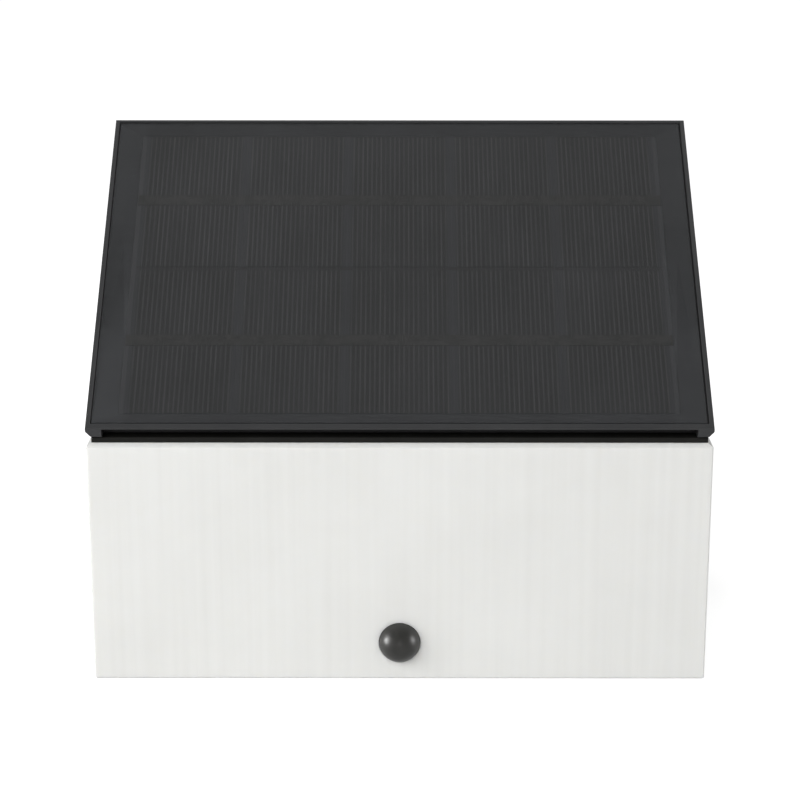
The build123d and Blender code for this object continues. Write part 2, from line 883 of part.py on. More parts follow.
def make_battery_cell():
    """One round cell lying across the lamp, its raised end to the right."""
    left, right = -battery_length / 2, battery_length / 2
    piece = rod((left, battery_y, battery_z), (right - nub_height, battery_y, battery_z), cell_size)
    return piece + rod((right - nub_height, battery_y, battery_z), (right, battery_y, battery_z), nub_size)


def make_battery_tray():
    z = around(battery_z, cell_size)
    piece = block(both(tray_half), (tray_front, tray_back), z)
    for side in (-1, 1):
        wall_x = tuple(sorted((side * (tray_half - tray_wall), side * tray_half)))
        piece += block(wall_x, (tray_front, battery_y + battery_radius / 2), z)
        for edge in (-1, 1):
            inner = battery_z + edge * (battery_radius + fit_gap)
            outer = battery_z + edge * (bay_half_height - fit_gap)
            ledge_x = around(side * tray_ledge_x, tray_ledge)
            ledge_z = tuple(sorted((inner, outer)))
            piece += block(ledge_x, (tray_front, battery_y + battery_radius / 2), ledge_z)
            piece += block(ledge_x, (tray_front, tray_back), tuple(sorted((battery_z, outer))))
    return piece - rod(
        (-tray_half - over, battery_y, battery_z), (-tray_half + tray_wall + over, battery_y, battery_z),
        lead_bore,
    )


def make_battery_contacts():
    """A sprung sheet at each end of the cell: a flat back with a bump that meets the cell."""
    pieces = []
    back = tray_half - tray_wall
    tip = battery_length / 2 + seat_gap
    for side in (-1, 1):
        sheet_front = side * (back - contact_sheet)
        outer = [
            (side * back, battery_y - contact_spread),
            (side * back, battery_y + contact_spread),
            (sheet_front, battery_y + contact_spread),
            (sheet_front, battery_y + contact_spread - contact_sheet),
            (side * tip, battery_y + contact_flat),
            (side * tip, battery_y - contact_flat),
            (sheet_front, battery_y - contact_spread + contact_sheet),
            (sheet_front, battery_y - contact_spread),
        ]
        inner = [
            (sheet_front, battery_y + contact_spread - contact_fold),
            (side * (tip + contact_sheet), battery_y + contact_flat),
            (side * (tip + contact_sheet), battery_y - contact_flat),
            (sheet_front, battery_y - contact_spread + contact_fold),
        ]
        base = Plane.XY.offset(battery_z - contact_width / 2)
        up = (0, 0, 1)
        sheet = extrude(make_face(base * Polyline(*outer, close=True)), amount=contact_width, dir=up)
        hollow = extrude(make_face(base * Polyline(*inner, close=True)), amount=contact_width, dir=up)
        pieces.append(sheet - hollow)
    return group(pieces)


def door_height():
    return 2 * (bay_half_height + bay_wall + door_lap)


def make_battery_door():
    y = (-door_sunk - door_thickness, -door_sunk)
    piece = block(both(door_half), y, around(battery_z, door_height()))
    piece = fillet(piece.edges().filter_by(Axis.Y), door_corner)
    for side in (-1, 1):
        at = side * door_screw_x
        piece -= rod(
            (at, 0, battery_z), (at, -door_sunk - low_head_height, battery_z), screw_head + 2 * screw_play
        )
        piece -= rod((at, 0, battery_z), (at, -rebate, battery_z), screw_bore)
    return piece


def make_battery_door_seal():
    y = (-rebate, -rebate + door_seal)
    inner_x, inner_z = bay_half + fit_gap, bay_half_height + fit_gap
    outer = block(both(inner_x + door_seal_width), y, around(battery_z, 2 * (inner_z + door_seal_width)))
    return outer - block(both(inner_x), (y[0] - over, y[1] + over), around(battery_z, 2 * inner_z))


def make_battery_door_screws():
    seat = -door_sunk - low_head_height
    return group(
        screw((side * door_screw_x, seat, battery_z), (0, -1, 0), door_screw_length,
              head_height=low_head_height)
        for side in (-1, 1)
    )


# Motion sensor


def make_pir_lens():
    """Dark dome, a ball cap on a short neck with an inner flange."""
    rim = dome_size / 2
    ball = (rim**2 + dome_reach**2) / (2 * dome_reach)
    tip = -depth - dome_reach
    middle = tip + ball
    inner, bore = ball - dome_wall, rim - dome_wall
    inner_drop = sqrt(inner**2 - bore**2)
    turn, inner_turn = acos((ball - dome_reach) / ball), acos(inner_drop / inner)
    flange_back = front_inside + flange_thickness
    outer_half = (ball * sin(turn / 2), middle - ball * cos(turn / 2))
    inner_half = (inner * sin(inner_turn / 2), middle - inner * cos(inner_turn / 2))
    outline = ThreePointArc((0, tip), outer_half, (rim, -depth))
    outline += Polyline(
        (rim, -depth),
        (rim, front_inside),
        (flange_size / 2, front_inside),
        (flange_size / 2, flange_back),
        (bore, flange_back),
        (bore, middle - inner_drop),
    )
    outline += ThreePointArc((bore, middle - inner_drop), inner_half, (0, tip + dome_wall))
    outline += Line((0, tip + dome_wall), (0, tip))
    return Pos(0, 0, dome_height) * revolve(make_face(outline), Axis.Y)


def holder_span():
    """The holder's ends, front and back."""
    front = front_inside + flange_thickness
    return front, front + holder_length


def make_pir_holder():
    front, back = holder_span()
    piece = rod((0, front, dome_height), (0, back, dome_height), flange_size)
    ear_front = front_inside + sensor_boss_length
    ear = block(both(ear_reach), (ear_front, ear_front + ear_thickness), around(dome_height, ear_height))
    piece += ear
    for side in (-1, 1):
        x = side * sensor_screw_x
        piece -= rod(
            (x, ear_front - over, dome_height), (x, ear_front + ear_thickness + over, dome_height),
            small_clear,
        )
    return piece - rod((0, front - over, dome_height), (0, back + over, dome_height), holder_bore)


def make_pir_holder_screws():
    seat = front_inside + sensor_boss_length + ear_thickness
    return group(
        screw((side * sensor_screw_x, seat, dome_height), (0, -1, 0), sensor_screw_length, small_screw,
              small_head, small_head_height)
        for side in (-1, 1)
    )


def pin_places():
    for turn in (0, 120, 240):
        angle = radians(turn + 90)
        yield pin_circle / 2 * cos(angle), dome_height + pin_circle / 2 * sin(angle)


def make_pir_sensor():
    """Can with a rim and three pins that pass through its board."""
    front, back = holder_span()
    can_front = front + sensor_sunk
    can_back = can_front + sensor_can_length
    rim_back = can_back + sensor_rim_thickness
    piece = rod((0, can_front, dome_height), (0, can_back, dome_height), sensor_can)
    piece += rod((0, can_back, dome_height), (0, rim_back, dome_height), sensor_rim)
    for x, z in pin_places():
        piece += rod((x, rim_back, z), (x, back + sensor_board_thickness + pin_past, z), pin_size)
    return piece


def make_pir_board():
    back = holder_span()[1]
    y = (back, back + sensor_board_thickness)
    piece = block(both(sensor_board_width / 2), y, around(dome_height, sensor_board_height))
    for x, z in pin_places():
        piece -= rod((x, y[0] - over, z), (x, y[1] + over, z), pin_size + 2 * screw_play)
    return piece


def make_pir_grommet():
    """Soft ring that guides the sensor's lead through the reflector."""
    front, back = reflector_front - grommet_lip, reflector_back + grommet_lip
    z = sensor_hole_height
    piece = rod((0, reflector_back, z), (0, back, z), sensor_grommet_flange)
    piece += rod((0, front, z), (0, reflector_front, z), sensor_grommet_flange)
    piece += rod((0, reflector_front, z), (0, reflector_back, z), sensor_grommet_neck)
    return piece - rod((0, front - over, z), (0, back + over, z), lead_bore)


# Power button


def make_power_button():
    """Plunger in the underside: a cap, a stem and a groove for its clip."""
    cap_top = button_sunk + button_cap
    piece = rod((button_x, button_y, button_sunk), (button_x, button_y, cap_top), button_size)
    piece = chamfer(piece.edges().sort_by(Axis.Z)[:1], button_sunk)
    piece += rod((button_x, button_y, cap_top), (button_x, button_y, button_top), button_stem)
    groove = rod(
        (button_x, button_y, clip_low), (button_x, button_y, clip_low + clip_thickness), button_stem + over
    )
    core = rod((button_x, button_y, clip_low), (button_x, button_y, clip_low + clip_thickness), clip_groove)
    return piece - (groove - core)


def make_button_clip():
    low, high = clip_low, clip_low + clip_thickness
    ring = rod((button_x, button_y, low), (button_x, button_y, high), clip_size)
    bore = clip_groove + 2 * clip_play
    ring -= rod((button_x, button_y, low - over), (button_x, button_y, high + over), bore)
    opening = block(
        around(button_x, clip_groove), (button_y - clip_size, button_y), (low - over, high + over)
    )
    return ring - opening


def make_switch_stem():
    top = board_bottom + switch_stem_in
    return rod((button_x, button_y, button_top), (button_x, button_y, top), switch_stem_size)


def make_tact_switch():
    y = (board_front - switch_depth, board_front)
    piece = block(around(button_x, switch_width), y, (board_bottom, board_bottom + switch_height))
    depth_in = switch_stem_in + button_travel + fit_gap
    return piece - rod(
        (button_x, button_y, board_bottom - over), (button_x, button_y, board_bottom + depth_in),
        switch_stem_size + 2 * slide_gap,
    )


# Wall bracket


def make_wall_bracket():
    """Steel plate with two screw holes and two hooks turned up in front of the pocket's wall."""
    z = (bracket_low, bracket_high)
    piece = block(both(bracket_width / 2), (-bracket_thickness, 0), z)
    piece = fillet(piece.edges().filter_by(Axis.Y), bracket_corner)
    for side in (-1, 1):
        x = around(side * hook_spacing / 2, hook_width)
        piece += block(x, (hook_front, -bracket_thickness / 2), (z[1] - bracket_thickness, z[1]))
        piece += block(x, (hook_front, hook_back), (z[1] - bracket_thickness, z[1] + hook_height))
        hole = side * screw_spacing / 2
        piece -= rod((hole, over, screw_height), (hole, -bracket_thickness - over, screw_height), screw_hole)
    return piece


# Leads


def lead_tube(name, points):
    """A tube along straight runs joined by arcs as large as the runs allow."""
    corners = [Vector(*point) for point in points]
    radii = []
    for before, here, after in zip(corners, corners[1:], corners[2:]):
        one, two = here - before, after - here
        turn = radians(one.get_angle(two))
        radii.append(lead_share * min(one.length, two.length) / tan(turn / 2))
    path = FilletPolyline(*corners, radius=radii)
    start = Plane(origin=corners[0], z_dir=corners[1] - corners[0])
    tube = sweep(start * Circle(lead_size / 2), path=path)
    share = tube.volume / (Circle(lead_size / 2).area * path.length)
    rounded = [round(radius, 1) for radius in radii]
    print(name, "length", round(path.length, 1), "radii", rounded, "fill", round(share, 4))
    return tube


def make_lead_grommet():
    neck = grommet_hole - 2 * seat_gap
    piece = rod((grommet_x, grommet_y, deck_under), (grommet_x, grommet_y, deck_top), neck)
    for low in (deck_under - grommet_lip, deck_top):
        piece += rod((grommet_x, grommet_y, low), (grommet_x, grommet_y, low + grommet_lip), grommet_flange)
    for side in (-1, 1):
        x = grommet_x + side * grommet_pitch / 2
        piece -= rod(
            (x, grommet_y, deck_under - grommet_lip - over), (x, grommet_y, deck_top + grommet_lip + over),
            lead_bore,
        )
    return piece


def make_panel_lead():
    """From the backboard through the roof, down through the deck to the main board."""
    start, inward = panel_lead_start()
    x = grommet_x - grommet_pitch / 2
    points = [start, (x, grommet_y, battery_z), (x, grommet_y, deck_under - panel_lead_drop)]
    points += [(panel_plug_x + dx, connector_y, connector_top + dz) for dx, dz in panel_lead_bends]
    points.append((panel_plug_x, connector_y, connector_top))
    return lead_tube("panel_lead", points)


def make_battery_lead():
    """From the left contact out of the bay's end, down through the deck to the main board."""
    x = grommet_x + grommet_pitch / 2
    depths = (battery_y, (battery_y + grommet_y) / 2, grommet_y)
    points = [(-tray_half + tray_wall, battery_y, battery_z)]
    points += [(x + dx, y, battery_z + dz) for (dx, dz), y in zip(battery_lead_turn, depths)]
    points.append((x, grommet_y, deck_under - battery_lead_drop))
    points += [(battery_plug_x + dx, connector_y, connector_top + dz) for dx, dz in battery_lead_bends]
    points.append((battery_plug_x, connector_y, connector_top))
    return lead_tube("battery_lead", points)


def make_led_lead():
    """From the socket behind the light board sideways into the main board's socket."""
    y = reflector_front + connector_depth / 2
    z = light_board_z + light_plug_rise
    left = light_plug_x - connector_width / 2
    mouth = led_plug_x + connector_width / 2
    low = connector_top - connector_height / 2
    out, back = led_lead_runs
    points = [(left, y, z), (left - out, y, z), (mouth + back, connector_y, low), (mouth, connector_y, low)]
    return lead_tube("led_lead", points)


def make_pir_lead():
    """From the sensor's board along the box's floor and up into the main board's lower socket."""
    start = holder_span()[1] + sensor_board_thickness
    points = [(0, start, dome_height)]
    points += [(x, start + dy, dome_height + dz) for x, dy, dz in pir_lead_bends]
    points += [(x, reflector_front + dy, sensor_hole_height + dz) for x, dy, dz in pir_lead_return]
    points.append((0, connector_y - pir_lead_rise, sensor_hole_height))
    points.append((0, connector_y, sensor_hole_height + pir_lead_rise))
    points.append((0, connector_y, board_bottom))
    return lead_tube("pir_lead", points)


pieces = {
    "wall_bracket": make_wall_bracket,
    "chassis": make_chassis,
    "hood": make_hood,
    "diffuser": make_diffuser,
    "hood_seal": make_hood_seal,
    "diffuser_seal": make_diffuser_seal,
    "case_screws": make_case_screws,
    "hood_screws": make_hood_screws,
    "panel_adhesive": make_panel_adhesive,
    "panel_backboard": make_panel_backboard,
    "solar_cells": make_solar_cells,
    "bus_ribbons": make_bus_ribbons,
    "panel_cover": make_panel_cover,
    "reflector": make_reflector,
    "reflector_screws": make_reflector_screws,
    "led_board": make_led_board,
    "leds": make_leds,
    "led_board_screws": make_led_board_screws,
    "led_connector": make_led_connector,
    "main_board": make_main_board,
    "main_board_screws": make_main_board_screws,
    "charge_chips": make_charge_chips,
    "capacitors": make_capacitors,
    "inductor": make_inductor,
    "board_connectors": make_board_connectors,
    "battery_cell": make_battery_cell,
    "battery_tray": make_battery_tray,
    "battery_contacts": make_battery_contacts,
    "battery_door": make_battery_door,
    "battery_door_seal": make_battery_door_seal,
    "battery_door_screws": make_battery_door_screws,
    "pir_lens": make_pir_lens,
    "pir_holder": make_pir_holder,
    "pir_holder_screws": make_pir_holder_screws,
    "pir_sensor": make_pir_sensor,
    "pir_board": make_pir_board,
    "pir_grommet": make_pir_grommet,
    "power_button": make_power_button,
    "button_clip": make_button_clip,
    "switch_stem": make_switch_stem,
    "tact_switch": make_tact_switch,
    "lead_grommet": make_lead_grommet,
    "panel_lead": make_panel_lead,
    "battery_lead": make_battery_lead,
    "led_lead": make_led_lead,
    "pir_lead": make_pir_lead,
}

os.makedirs("parts", exist_ok=True)
for name, make in pieces.items():
    export_step(Pos(0, 0, -screw_height) * make(), f"parts/{name}.step")
print(len(pieces), "pieces; the lamp lifts", lift, "mm, the button travels", button_travel, "mm")
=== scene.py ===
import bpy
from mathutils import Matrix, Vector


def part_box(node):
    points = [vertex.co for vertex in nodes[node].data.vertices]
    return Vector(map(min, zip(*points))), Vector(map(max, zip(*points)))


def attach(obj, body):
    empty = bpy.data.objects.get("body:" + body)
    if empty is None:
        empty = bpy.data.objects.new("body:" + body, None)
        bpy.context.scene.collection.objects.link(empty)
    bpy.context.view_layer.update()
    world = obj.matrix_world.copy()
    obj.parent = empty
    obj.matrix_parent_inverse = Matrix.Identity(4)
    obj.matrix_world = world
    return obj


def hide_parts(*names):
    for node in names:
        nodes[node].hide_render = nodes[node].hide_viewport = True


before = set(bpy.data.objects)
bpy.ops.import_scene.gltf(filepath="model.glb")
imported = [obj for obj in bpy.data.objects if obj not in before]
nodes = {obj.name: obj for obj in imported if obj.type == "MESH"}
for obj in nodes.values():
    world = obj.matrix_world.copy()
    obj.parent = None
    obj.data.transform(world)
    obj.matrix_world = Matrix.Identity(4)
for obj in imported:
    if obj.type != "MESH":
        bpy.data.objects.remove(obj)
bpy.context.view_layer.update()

import math

import bmesh
import bpy
from mathutils import Matrix, Vector
from mathutils.bvhtree import BVHTree

scene = bpy.context.scene
mm = 0.001


# Camera, at the photograph's place

photoView = {
    "width": 800,  # pixels
    "focal": 2154.4,  # pixels
    "place": (0.000066, -0.67343, 0.20944),
    "tilt": 16.153,  # degrees below level
    "roll": 0.03,  # degrees
    "sensor": 36.0,  # millimetres
    "nearest": 0.01,  # metres from which it sees
}


def makeCamera():
    data = bpy.data.cameras.new("photoCamera")
    data.sensor_width = photoView["sensor"]
    data.lens = photoView["sensor"] * photoView["focal"] / photoView["width"]
    data.clip_start = photoView["nearest"]
    camera = bpy.data.objects.new("photoCamera", data)
    camera.location = photoView["place"]
    tilted = Matrix.Rotation(math.radians(90 - photoView["tilt"]), 4, "X")
    rolled = Matrix.Rotation(math.radians(photoView["roll"]), 4, "Z")
    camera.rotation_euler = (tilted @ rolled).to_euler()
    scene.collection.objects.link(camera)
    scene.camera = camera


makeCamera()
print("camera made")


def cornersOf(points):
    low = Vector([min(point[axis] for point in points) for axis in range(3)])
    high = Vector([max(point[axis] for point in points) for axis in range(3)])
    return low, high


# Shader helpers


class Tree:  # a node tree with short ways to add and join nodes
    def __init__(self, tree):
        self.tree = tree

    def add(self, kind, values=None, **settings):
        node = self.tree.nodes.new(kind)
        for key, value in settings.items():
            setattr(node, key, value)
        for key, value in (values or {}).items():
            self.put(node.inputs[key], value)
        return node

    def put(self, socket, value):
        if isinstance(value, bpy.types.NodeSocket):
            self.tree.links.new(value, socket)
        else:
            socket.default_value = value

    def math(self, operation, *values, clamp=False):
        node = self.add("ShaderNodeMath", operation=operation, use_clamp=clamp)
        for slot, value in enumerate(values):
            self.put(node.inputs[slot], value)
        return node.outputs[0]

    def point(self, **axes):
        return self.add("ShaderNodeCombineXYZ", axes).outputs[0]

    def axes(self, point):
        return self.add("ShaderNodeSeparateXYZ", {"Vector": point}).outputs

    def ramp(self, value, *stops):
        node = self.add("ShaderNodeMapRange", {"Value": value}, clamp=True)
        # two stops spread that part of the value over 0 to 1
        for name, number in zip(("From Min", "From Max", "To Min", "To Max"), stops):
            node.inputs[name].default_value = number
        return node.outputs["Result"]

    def noise(self, point, scale, look):
        return self.add("ShaderNodeTexNoise", {"Vector": point, "Scale": scale, **look}).outputs["Fac"]

    def mix(self, factor, first, second):
        node = self.add("ShaderNodeMix", data_type="RGBA")
        self.put(node.inputs["Factor"], factor)
        self.put(node.inputs[6], first)
        self.put(node.inputs[7], second)
        return node.outputs[2]

    def blend(self, factor, first, second):
        node = self.add("ShaderNodeMix", data_type="FLOAT")
        self.put(node.inputs["Factor"], factor)
        self.put(node.inputs[2], first)
        self.put(node.inputs[3], second)
        return node.outputs[0]


def makeGroup(name, inputs, outputs):
    group = bpy.data.node_groups.new(name, "ShaderNodeTree")
    for label, kind, value in inputs:
        socket = group.interface.new_socket(label, in_out="INPUT", socket_type=kind)
        if value is not None:
            socket.default_value = value
    for label, kind in outputs:
        group.interface.new_socket(label, in_out="OUTPUT", socket_type=kind)
    tree = Tree(group)
    return group, tree, tree.add("NodeGroupInput"), tree.add("NodeGroupOutput")


def colour(red, green, blue):
    return (red, green, blue, 1.0)


def grey(level):
    return (level, level, level, 1.0)


# Surface effects that several materials share

grainPattern = {
    "noise": {"Detail": 3.0, "Roughness": 0.62},
    "contrast": (0.35, 0.65),
    "pitScale": 0.45,  # of the grain's
    "pitReach": 0.7,
    "pitShare": 0.35,  # of the height
}


def makeMouldGrain():  # fine grain of a moulding, with shallow pits
    look = grainPattern
    group, tree, given, out = makeGroup(
        "mouldGrain",
        [("Vector", "NodeSocketVector", None), ("Grain Size", "NodeSocketFloat", 0.4 * mm)],
        [("Height", "NodeSocketFloat"), ("Speck", "NodeSocketFloat")],
    )
    scale = tree.math("DIVIDE", 1.0, given.outputs["Grain Size"])
    noise = tree.noise(given.outputs["Vector"], scale, look["noise"])
    coarse = tree.math("MULTIPLY", scale, look["pitScale"])
    pits = tree.add("ShaderNodeTexVoronoi", {"Vector": given.outputs["Vector"], "Scale": coarse})
    pitDepth = tree.ramp(pits.outputs["Distance"], 0.0, look["pitReach"])
    tree.put(out.inputs["Height"], tree.blend(look["pitShare"], noise, pitDepth))
    tree.put(out.inputs["Speck"], tree.ramp(noise, *look["contrast"]))
    return group


smudgePattern = {
    "noise": {"Detail": 4.0, "Roughness": 0.55, "Distortion": 0.4},
    "contrast": (0.35, 0.68),
}


def makeSoftSmudge():  # slow, uneven patches left by handling and dust
    group, tree, given, out = makeGroup(
        "softSmudge",
        [("Vector", "NodeSocketVector", None), ("Patch Size", "NodeSocketFloat", 18 * mm)],
        [("Mask", "NodeSocketFloat")],
    )
    scale = tree.math("DIVIDE", 1.0, given.outputs["Patch Size"])
    noise = tree.noise(given.outputs["Vector"], scale, smudgePattern["noise"])
    tree.put(out.inputs["Mask"], tree.ramp(noise, *smudgePattern["contrast"]))
    return group


linePattern = {"Detail": 2.0, "Roughness": 0.5}


def makeDrawnLines():  # fine lines along one direction, as on rolled metal and ribbed film
    group, tree, given, out = makeGroup(
        "drawnLines",
        [
            ("Vector", "NodeSocketVector", None),
            ("Line Width", "NodeSocketFloat", 0.15 * mm),
            ("Stretch", "NodeSocketVector", (1.0, 1.0, 0.02)),
        ],
        [("Height", "NodeSocketFloat")],
    )
    scale = tree.math("DIVIDE", 1.0, given.outputs["Line Width"])
    vectors = {0: given.outputs["Vector"], 1: given.outputs["Stretch"]}
    stretched = tree.add("ShaderNodeVectorMath", vectors, operation="MULTIPLY").outputs[0]
    tree.put(out.inputs["Height"], tree.noise(stretched, scale, linePattern))
    return group


mouldGrain = makeMouldGrain()
softSmudge = makeSoftSmudge()
drawnLines = makeDrawnLines()


# Materials


class Finish:  # a material with constants on its shader's sockets and patterns linked in
    def __init__(self, name, **constants):
        self.material = bpy.data.materials.new(name)
        self.material.use_nodes = True
        self.tree = Tree(self.material.node_tree)
        self.shader = self.material.node_tree.nodes["Principled BSDF"]
        self.coords = self.tree.add("ShaderNodeTexCoord").outputs["Object"]
        for label, value in constants.items():
            self.shader.inputs[label.replace("_", " ")].default_value = value

    def group(self, group, **values):
        node = self.tree.add("ShaderNodeGroup")
        node.node_tree = group
        self.tree.put(node.inputs["Vector"], self.coords)
        for label, value in values.items():
            self.tree.put(node.inputs[label.replace("_", " ")], value)
        return node.outputs

    def link(self, label, value):
        self.tree.put(self.shader.inputs[label], value)

    def tones(self, mask, dark, light):
        self.link("Base Color", self.tree.mix(mask, dark, light))

    def roughness(self, mask, least, most):
        self.link("Roughness", self.tree.ramp(mask, 0.0, 1.0, least, most))

    def bump(self, height, distance):
        node = self.tree.add("ShaderNodeBump", {"Strength": 1.0, "Distance": distance, "Height": height})
        self.link("Normal", node.outputs["Normal"])


materials = {}

drift = {  # of colour and gloss over a surface
    "mouldPatch": 18 * mm,
    "mouldSpread": 0.08,  # of the roughness, to each side
    "grainShare": 0.4,  # of it that follows the grain, the rest follows the patches
    "metalPatch": 7 * mm,
    "metalSpread": 0.1,
    "lineShare": 0.5,
    "lineContrast": (0.2, 0.8),
    "metalLine": 0.12 * mm,
    "metalDepth": 0.01 * mm,
}


# Grained moulding whose colour and gloss drift a little between two tones
def mouldedPlastic(name, dark, light, grain, depth, gloss, patch=drift["mouldPatch"], **constants):
    finish = Finish(name, **constants)
    grainOut = finish.group(mouldGrain, Grain_Size=grain)
    smudge = finish.group(softSmudge, Patch_Size=patch)["Mask"]
    finish.tones(smudge, dark, light)
    uneven = finish.tree.blend(drift["grainShare"], smudge, grainOut["Speck"])
    finish.roughness(uneven, gloss - drift["mouldSpread"], gloss + drift["mouldSpread"])
    finish.bump(grainOut["Height"], depth)
    materials[name] = finish


# Drawn or rolled metal with fine lines one way
def sheetMetal(name, dark, light, gloss, stretch):
    finish = Finish(name, Metallic=1.0)
    lines = finish.group(drawnLines, Line_Width=drift["metalLine"], Stretch=stretch)["Height"]
    smudge = finish.group(softSmudge, Patch_Size=drift["metalPatch"])["Mask"]
    finish.tones(smudge, dark, light)
    uneven = finish.tree.blend(drift["lineShare"], smudge, lines)
    uneven = finish.tree.ramp(uneven, *drift["lineContrast"])
    finish.roughness(uneven, gloss - drift["metalSpread"], gloss + drift["metalSpread"])
    finish.bump(lines, drift["metalDepth"])
    materials[name] = finish


mouldings = {
    "blackShell": {
        "dark": colour(0.024, 0.0245, 0.026),
        "light": colour(0.032, 0.0325, 0.034),
        "grain": 0.35 * mm,
        "depth": 0.02 * mm,
        "gloss": 0.5,
    },
    # the chassis' black plastic, toned darker than the roof's as painted shade for the band in the groove
    # under the roof's front lip
    "deckBlackAndPaintedShade": {
        "dark": colour(0.011, 0.0108, 0.0098),
        "light": colour(0.016, 0.0158, 0.0145),
        "grain": 0.3 * mm,
        "depth": 0.03 * mm,
        "gloss": 0.78,
        "Specular_IOR_Level": 0.2,
    },
    "bracketCoat": {
        "dark": grey(0.018),
        "light": grey(0.03),
        "grain": 0.7 * mm,
        "depth": 0.03 * mm,
        "gloss": 0.42,
        "Coat_Weight": 0.2,
        "Coat_Roughness": 0.3,
    },
    "trayBlack": {
        "dark": grey(0.022),
        "light": grey(0.03),
        "grain": 0.3 * mm,
        "depth": 0.015 * mm,
        "gloss": 0.55,
    },
    "switchBlack": {
        "dark": grey(0.018),
        "light": grey(0.024),
        "grain": 0.2 * mm,
        "depth": 0.006 * mm,
        "gloss": 0.4,
    },
    "chipMould": {
        "dark": grey(0.016),
        "light": grey(0.026),
        "grain": 0.18 * mm,
        "depth": 0.008 * mm,
        "gloss": 0.6,
    },
    "ferrite": {
        "dark": grey(0.05),
        "light": grey(0.08),
        "grain": 0.3 * mm,
        "depth": 0.02 * mm,
        "gloss": 0.5,
    },
    "buttonRubber": {
        "dark": grey(0.02),
        "light": grey(0.028),
        "grain": 0.25 * mm,
        "depth": 0.012 * mm,
        "gloss": 0.7,
        "Sheen_Weight": 0.15,
    },
    "sealRubber": {
        "dark": grey(0.03),
        "light": grey(0.045),
        "grain": 0.5 * mm,
        "depth": 0.01 * mm,
        "gloss": 0.75,
        "Sheen_Weight": 0.2,
    },
    "leadSheath": {
        "dark": grey(0.018),
        "light": grey(0.026),
        "grain": 0.9 * mm,
        "depth": 0.012 * mm,
        "gloss": 0.5,
        "patch": 6 * mm,
    },
    "foamTape": {
        "dark": grey(0.1),
        "light": grey(0.14),
        "grain": 0.25 * mm,
        "depth": 0.04 * mm,
        "gloss": 0.9,
    },
    "connectorNylon": {
        "dark": colour(0.72, 0.66, 0.5),
        "light": colour(0.8, 0.75, 0.6),
        "grain": 0.4 * mm,
        "depth": 0.006 * mm,
        "gloss": 0.35,
    },
    "reflectorWhite": {
        "dark": grey(0.86),
        "light": grey(0.9),
        "grain": 0.8 * mm,
        "depth": 0.004 * mm,
        "gloss": 0.3,
    },
}

metals = {  # lines run along the axes whose stretch is small
    "zincScrew": {
        "dark": colour(0.5, 0.5, 0.48),
        "light": colour(0.62, 0.61, 0.58),
        "gloss": 0.35,
        "stretch": (1.0, 0.2, 1.0),
    },
    "clipSteel": {"dark": grey(0.4), "light": grey(0.5), "gloss": 0.35, "stretch": (1.0, 0.05, 1.0)},
    "springNickel": {
        "dark": colour(0.6, 0.58, 0.52),
        "light": colour(0.7, 0.68, 0.62),
        "gloss": 0.22,
        "stretch": (1.0, 1.0, 0.04),
    },
    "sensorCan": {"dark": grey(0.55), "light": grey(0.65), "gloss": 0.3, "stretch": (1.0, 0.05, 1.0)},
    "capacitorCan": {"dark": grey(0.62), "light": grey(0.72), "gloss": 0.28, "stretch": (1.0, 0.05, 1.0)},
}

for name, look in mouldings.items():
    mouldedPlastic(name, **look)
for name, look in metals.items():
    sheetMetal(name, **look)
print("mouldings and metals made")


opalFinish = {
    "subsurface": 0.6,
    "sinkDepth": 2.2 * mm,
    "sinkRadius": (1.0, 0.97, 0.9),
    "refraction": 1.49,
    "dark": colour(0.79, 0.79, 0.768),
    "light": colour(0.838, 0.84, 0.82),
    "flowLine": 2.4 * mm,
    "flowStretch": (1.0, 1.0, 0.02),
    "flowContrast": (0.3, 0.7),
    "flowShare": 0.55,  # of the tone, the rest follows the patches
    "patch": 26 * mm,
    "grain": 0.5 * mm,
    "grainDepth": 0.006 * mm,
    "roughness": (0.36, 0.44),
}


# Milky box: light sinks in and comes out again, with faint upright flow lines
def makeOpalMaterial():
    look = opalFinish
    finish = Finish(
        "opalShell",
        Subsurface_Weight=look["subsurface"],
        Subsurface_Scale=look["sinkDepth"],
        Subsurface_Radius=look["sinkRadius"],
        IOR=look["refraction"],
    )
    lines = finish.group(drawnLines, Line_Width=look["flowLine"], Stretch=look["flowStretch"])["Height"]
    lines = finish.tree.ramp(lines, *look["flowContrast"])
    smudge = finish.group(softSmudge, Patch_Size=look["patch"])["Mask"]
    finish.tones(finish.tree.blend(look["flowShare"], smudge, lines), look["dark"], look["light"])
    grain = finish.group(mouldGrain, Grain_Size=look["grain"])
    finish.roughness(grain["Speck"], *look["roughness"])
    finish.bump(grain["Height"], look["grainDepth"])
    materials["opalShell"] = finish


makeOpalMaterial()


def panelPlace():
    # the panel's own axes: x along it, y up the slope, z out of it, from the middle of the cells
    mesh = nodes["panel_backboard"].data
    up = max(mesh.polygons, key=lambda face: face.area * (face.normal.z > 0)).normal.copy()
    side = Vector((1, 0, 0))
    turn = Matrix((side, up.cross(side), up)).transposed()
    low, high = cornersOf([turn.transposed() @ vertex.co for vertex in nodes["solar_cells"].data.vertices])
    middle = Vector(((low[0] + high[0]) / 2, (low[1] + high[1]) / 2, low[2]))
    return Matrix.Translation(turn @ middle) @ turn.to_4x4()


panelAxes = panelPlace()


def spanOnPanel(nodeName):
    # a node's lowest and highest corner in the panel's axes
    back = panelAxes.inverted()
    return cornersOf([back @ vertex.co for vertex in nodes[nodeName].data.vertices])


panelPrint = {
    "columns": 5,
    "rows": 2,
    "fingers": 21,  # in one cell
    "fingerWidth": 0.42 * mm,
    "fingerThickness": 0.02 * mm,
    "cellEdge": 0.22 * mm,  # bare at a cell's lower and upper end
    "sideEdge": 1.35 * mm,  # and at its sides
    "ribbonEdge": 0.28 * mm,
    "rowGap": 1.4 * mm,
    "columnGap": 0.26 * mm,
}


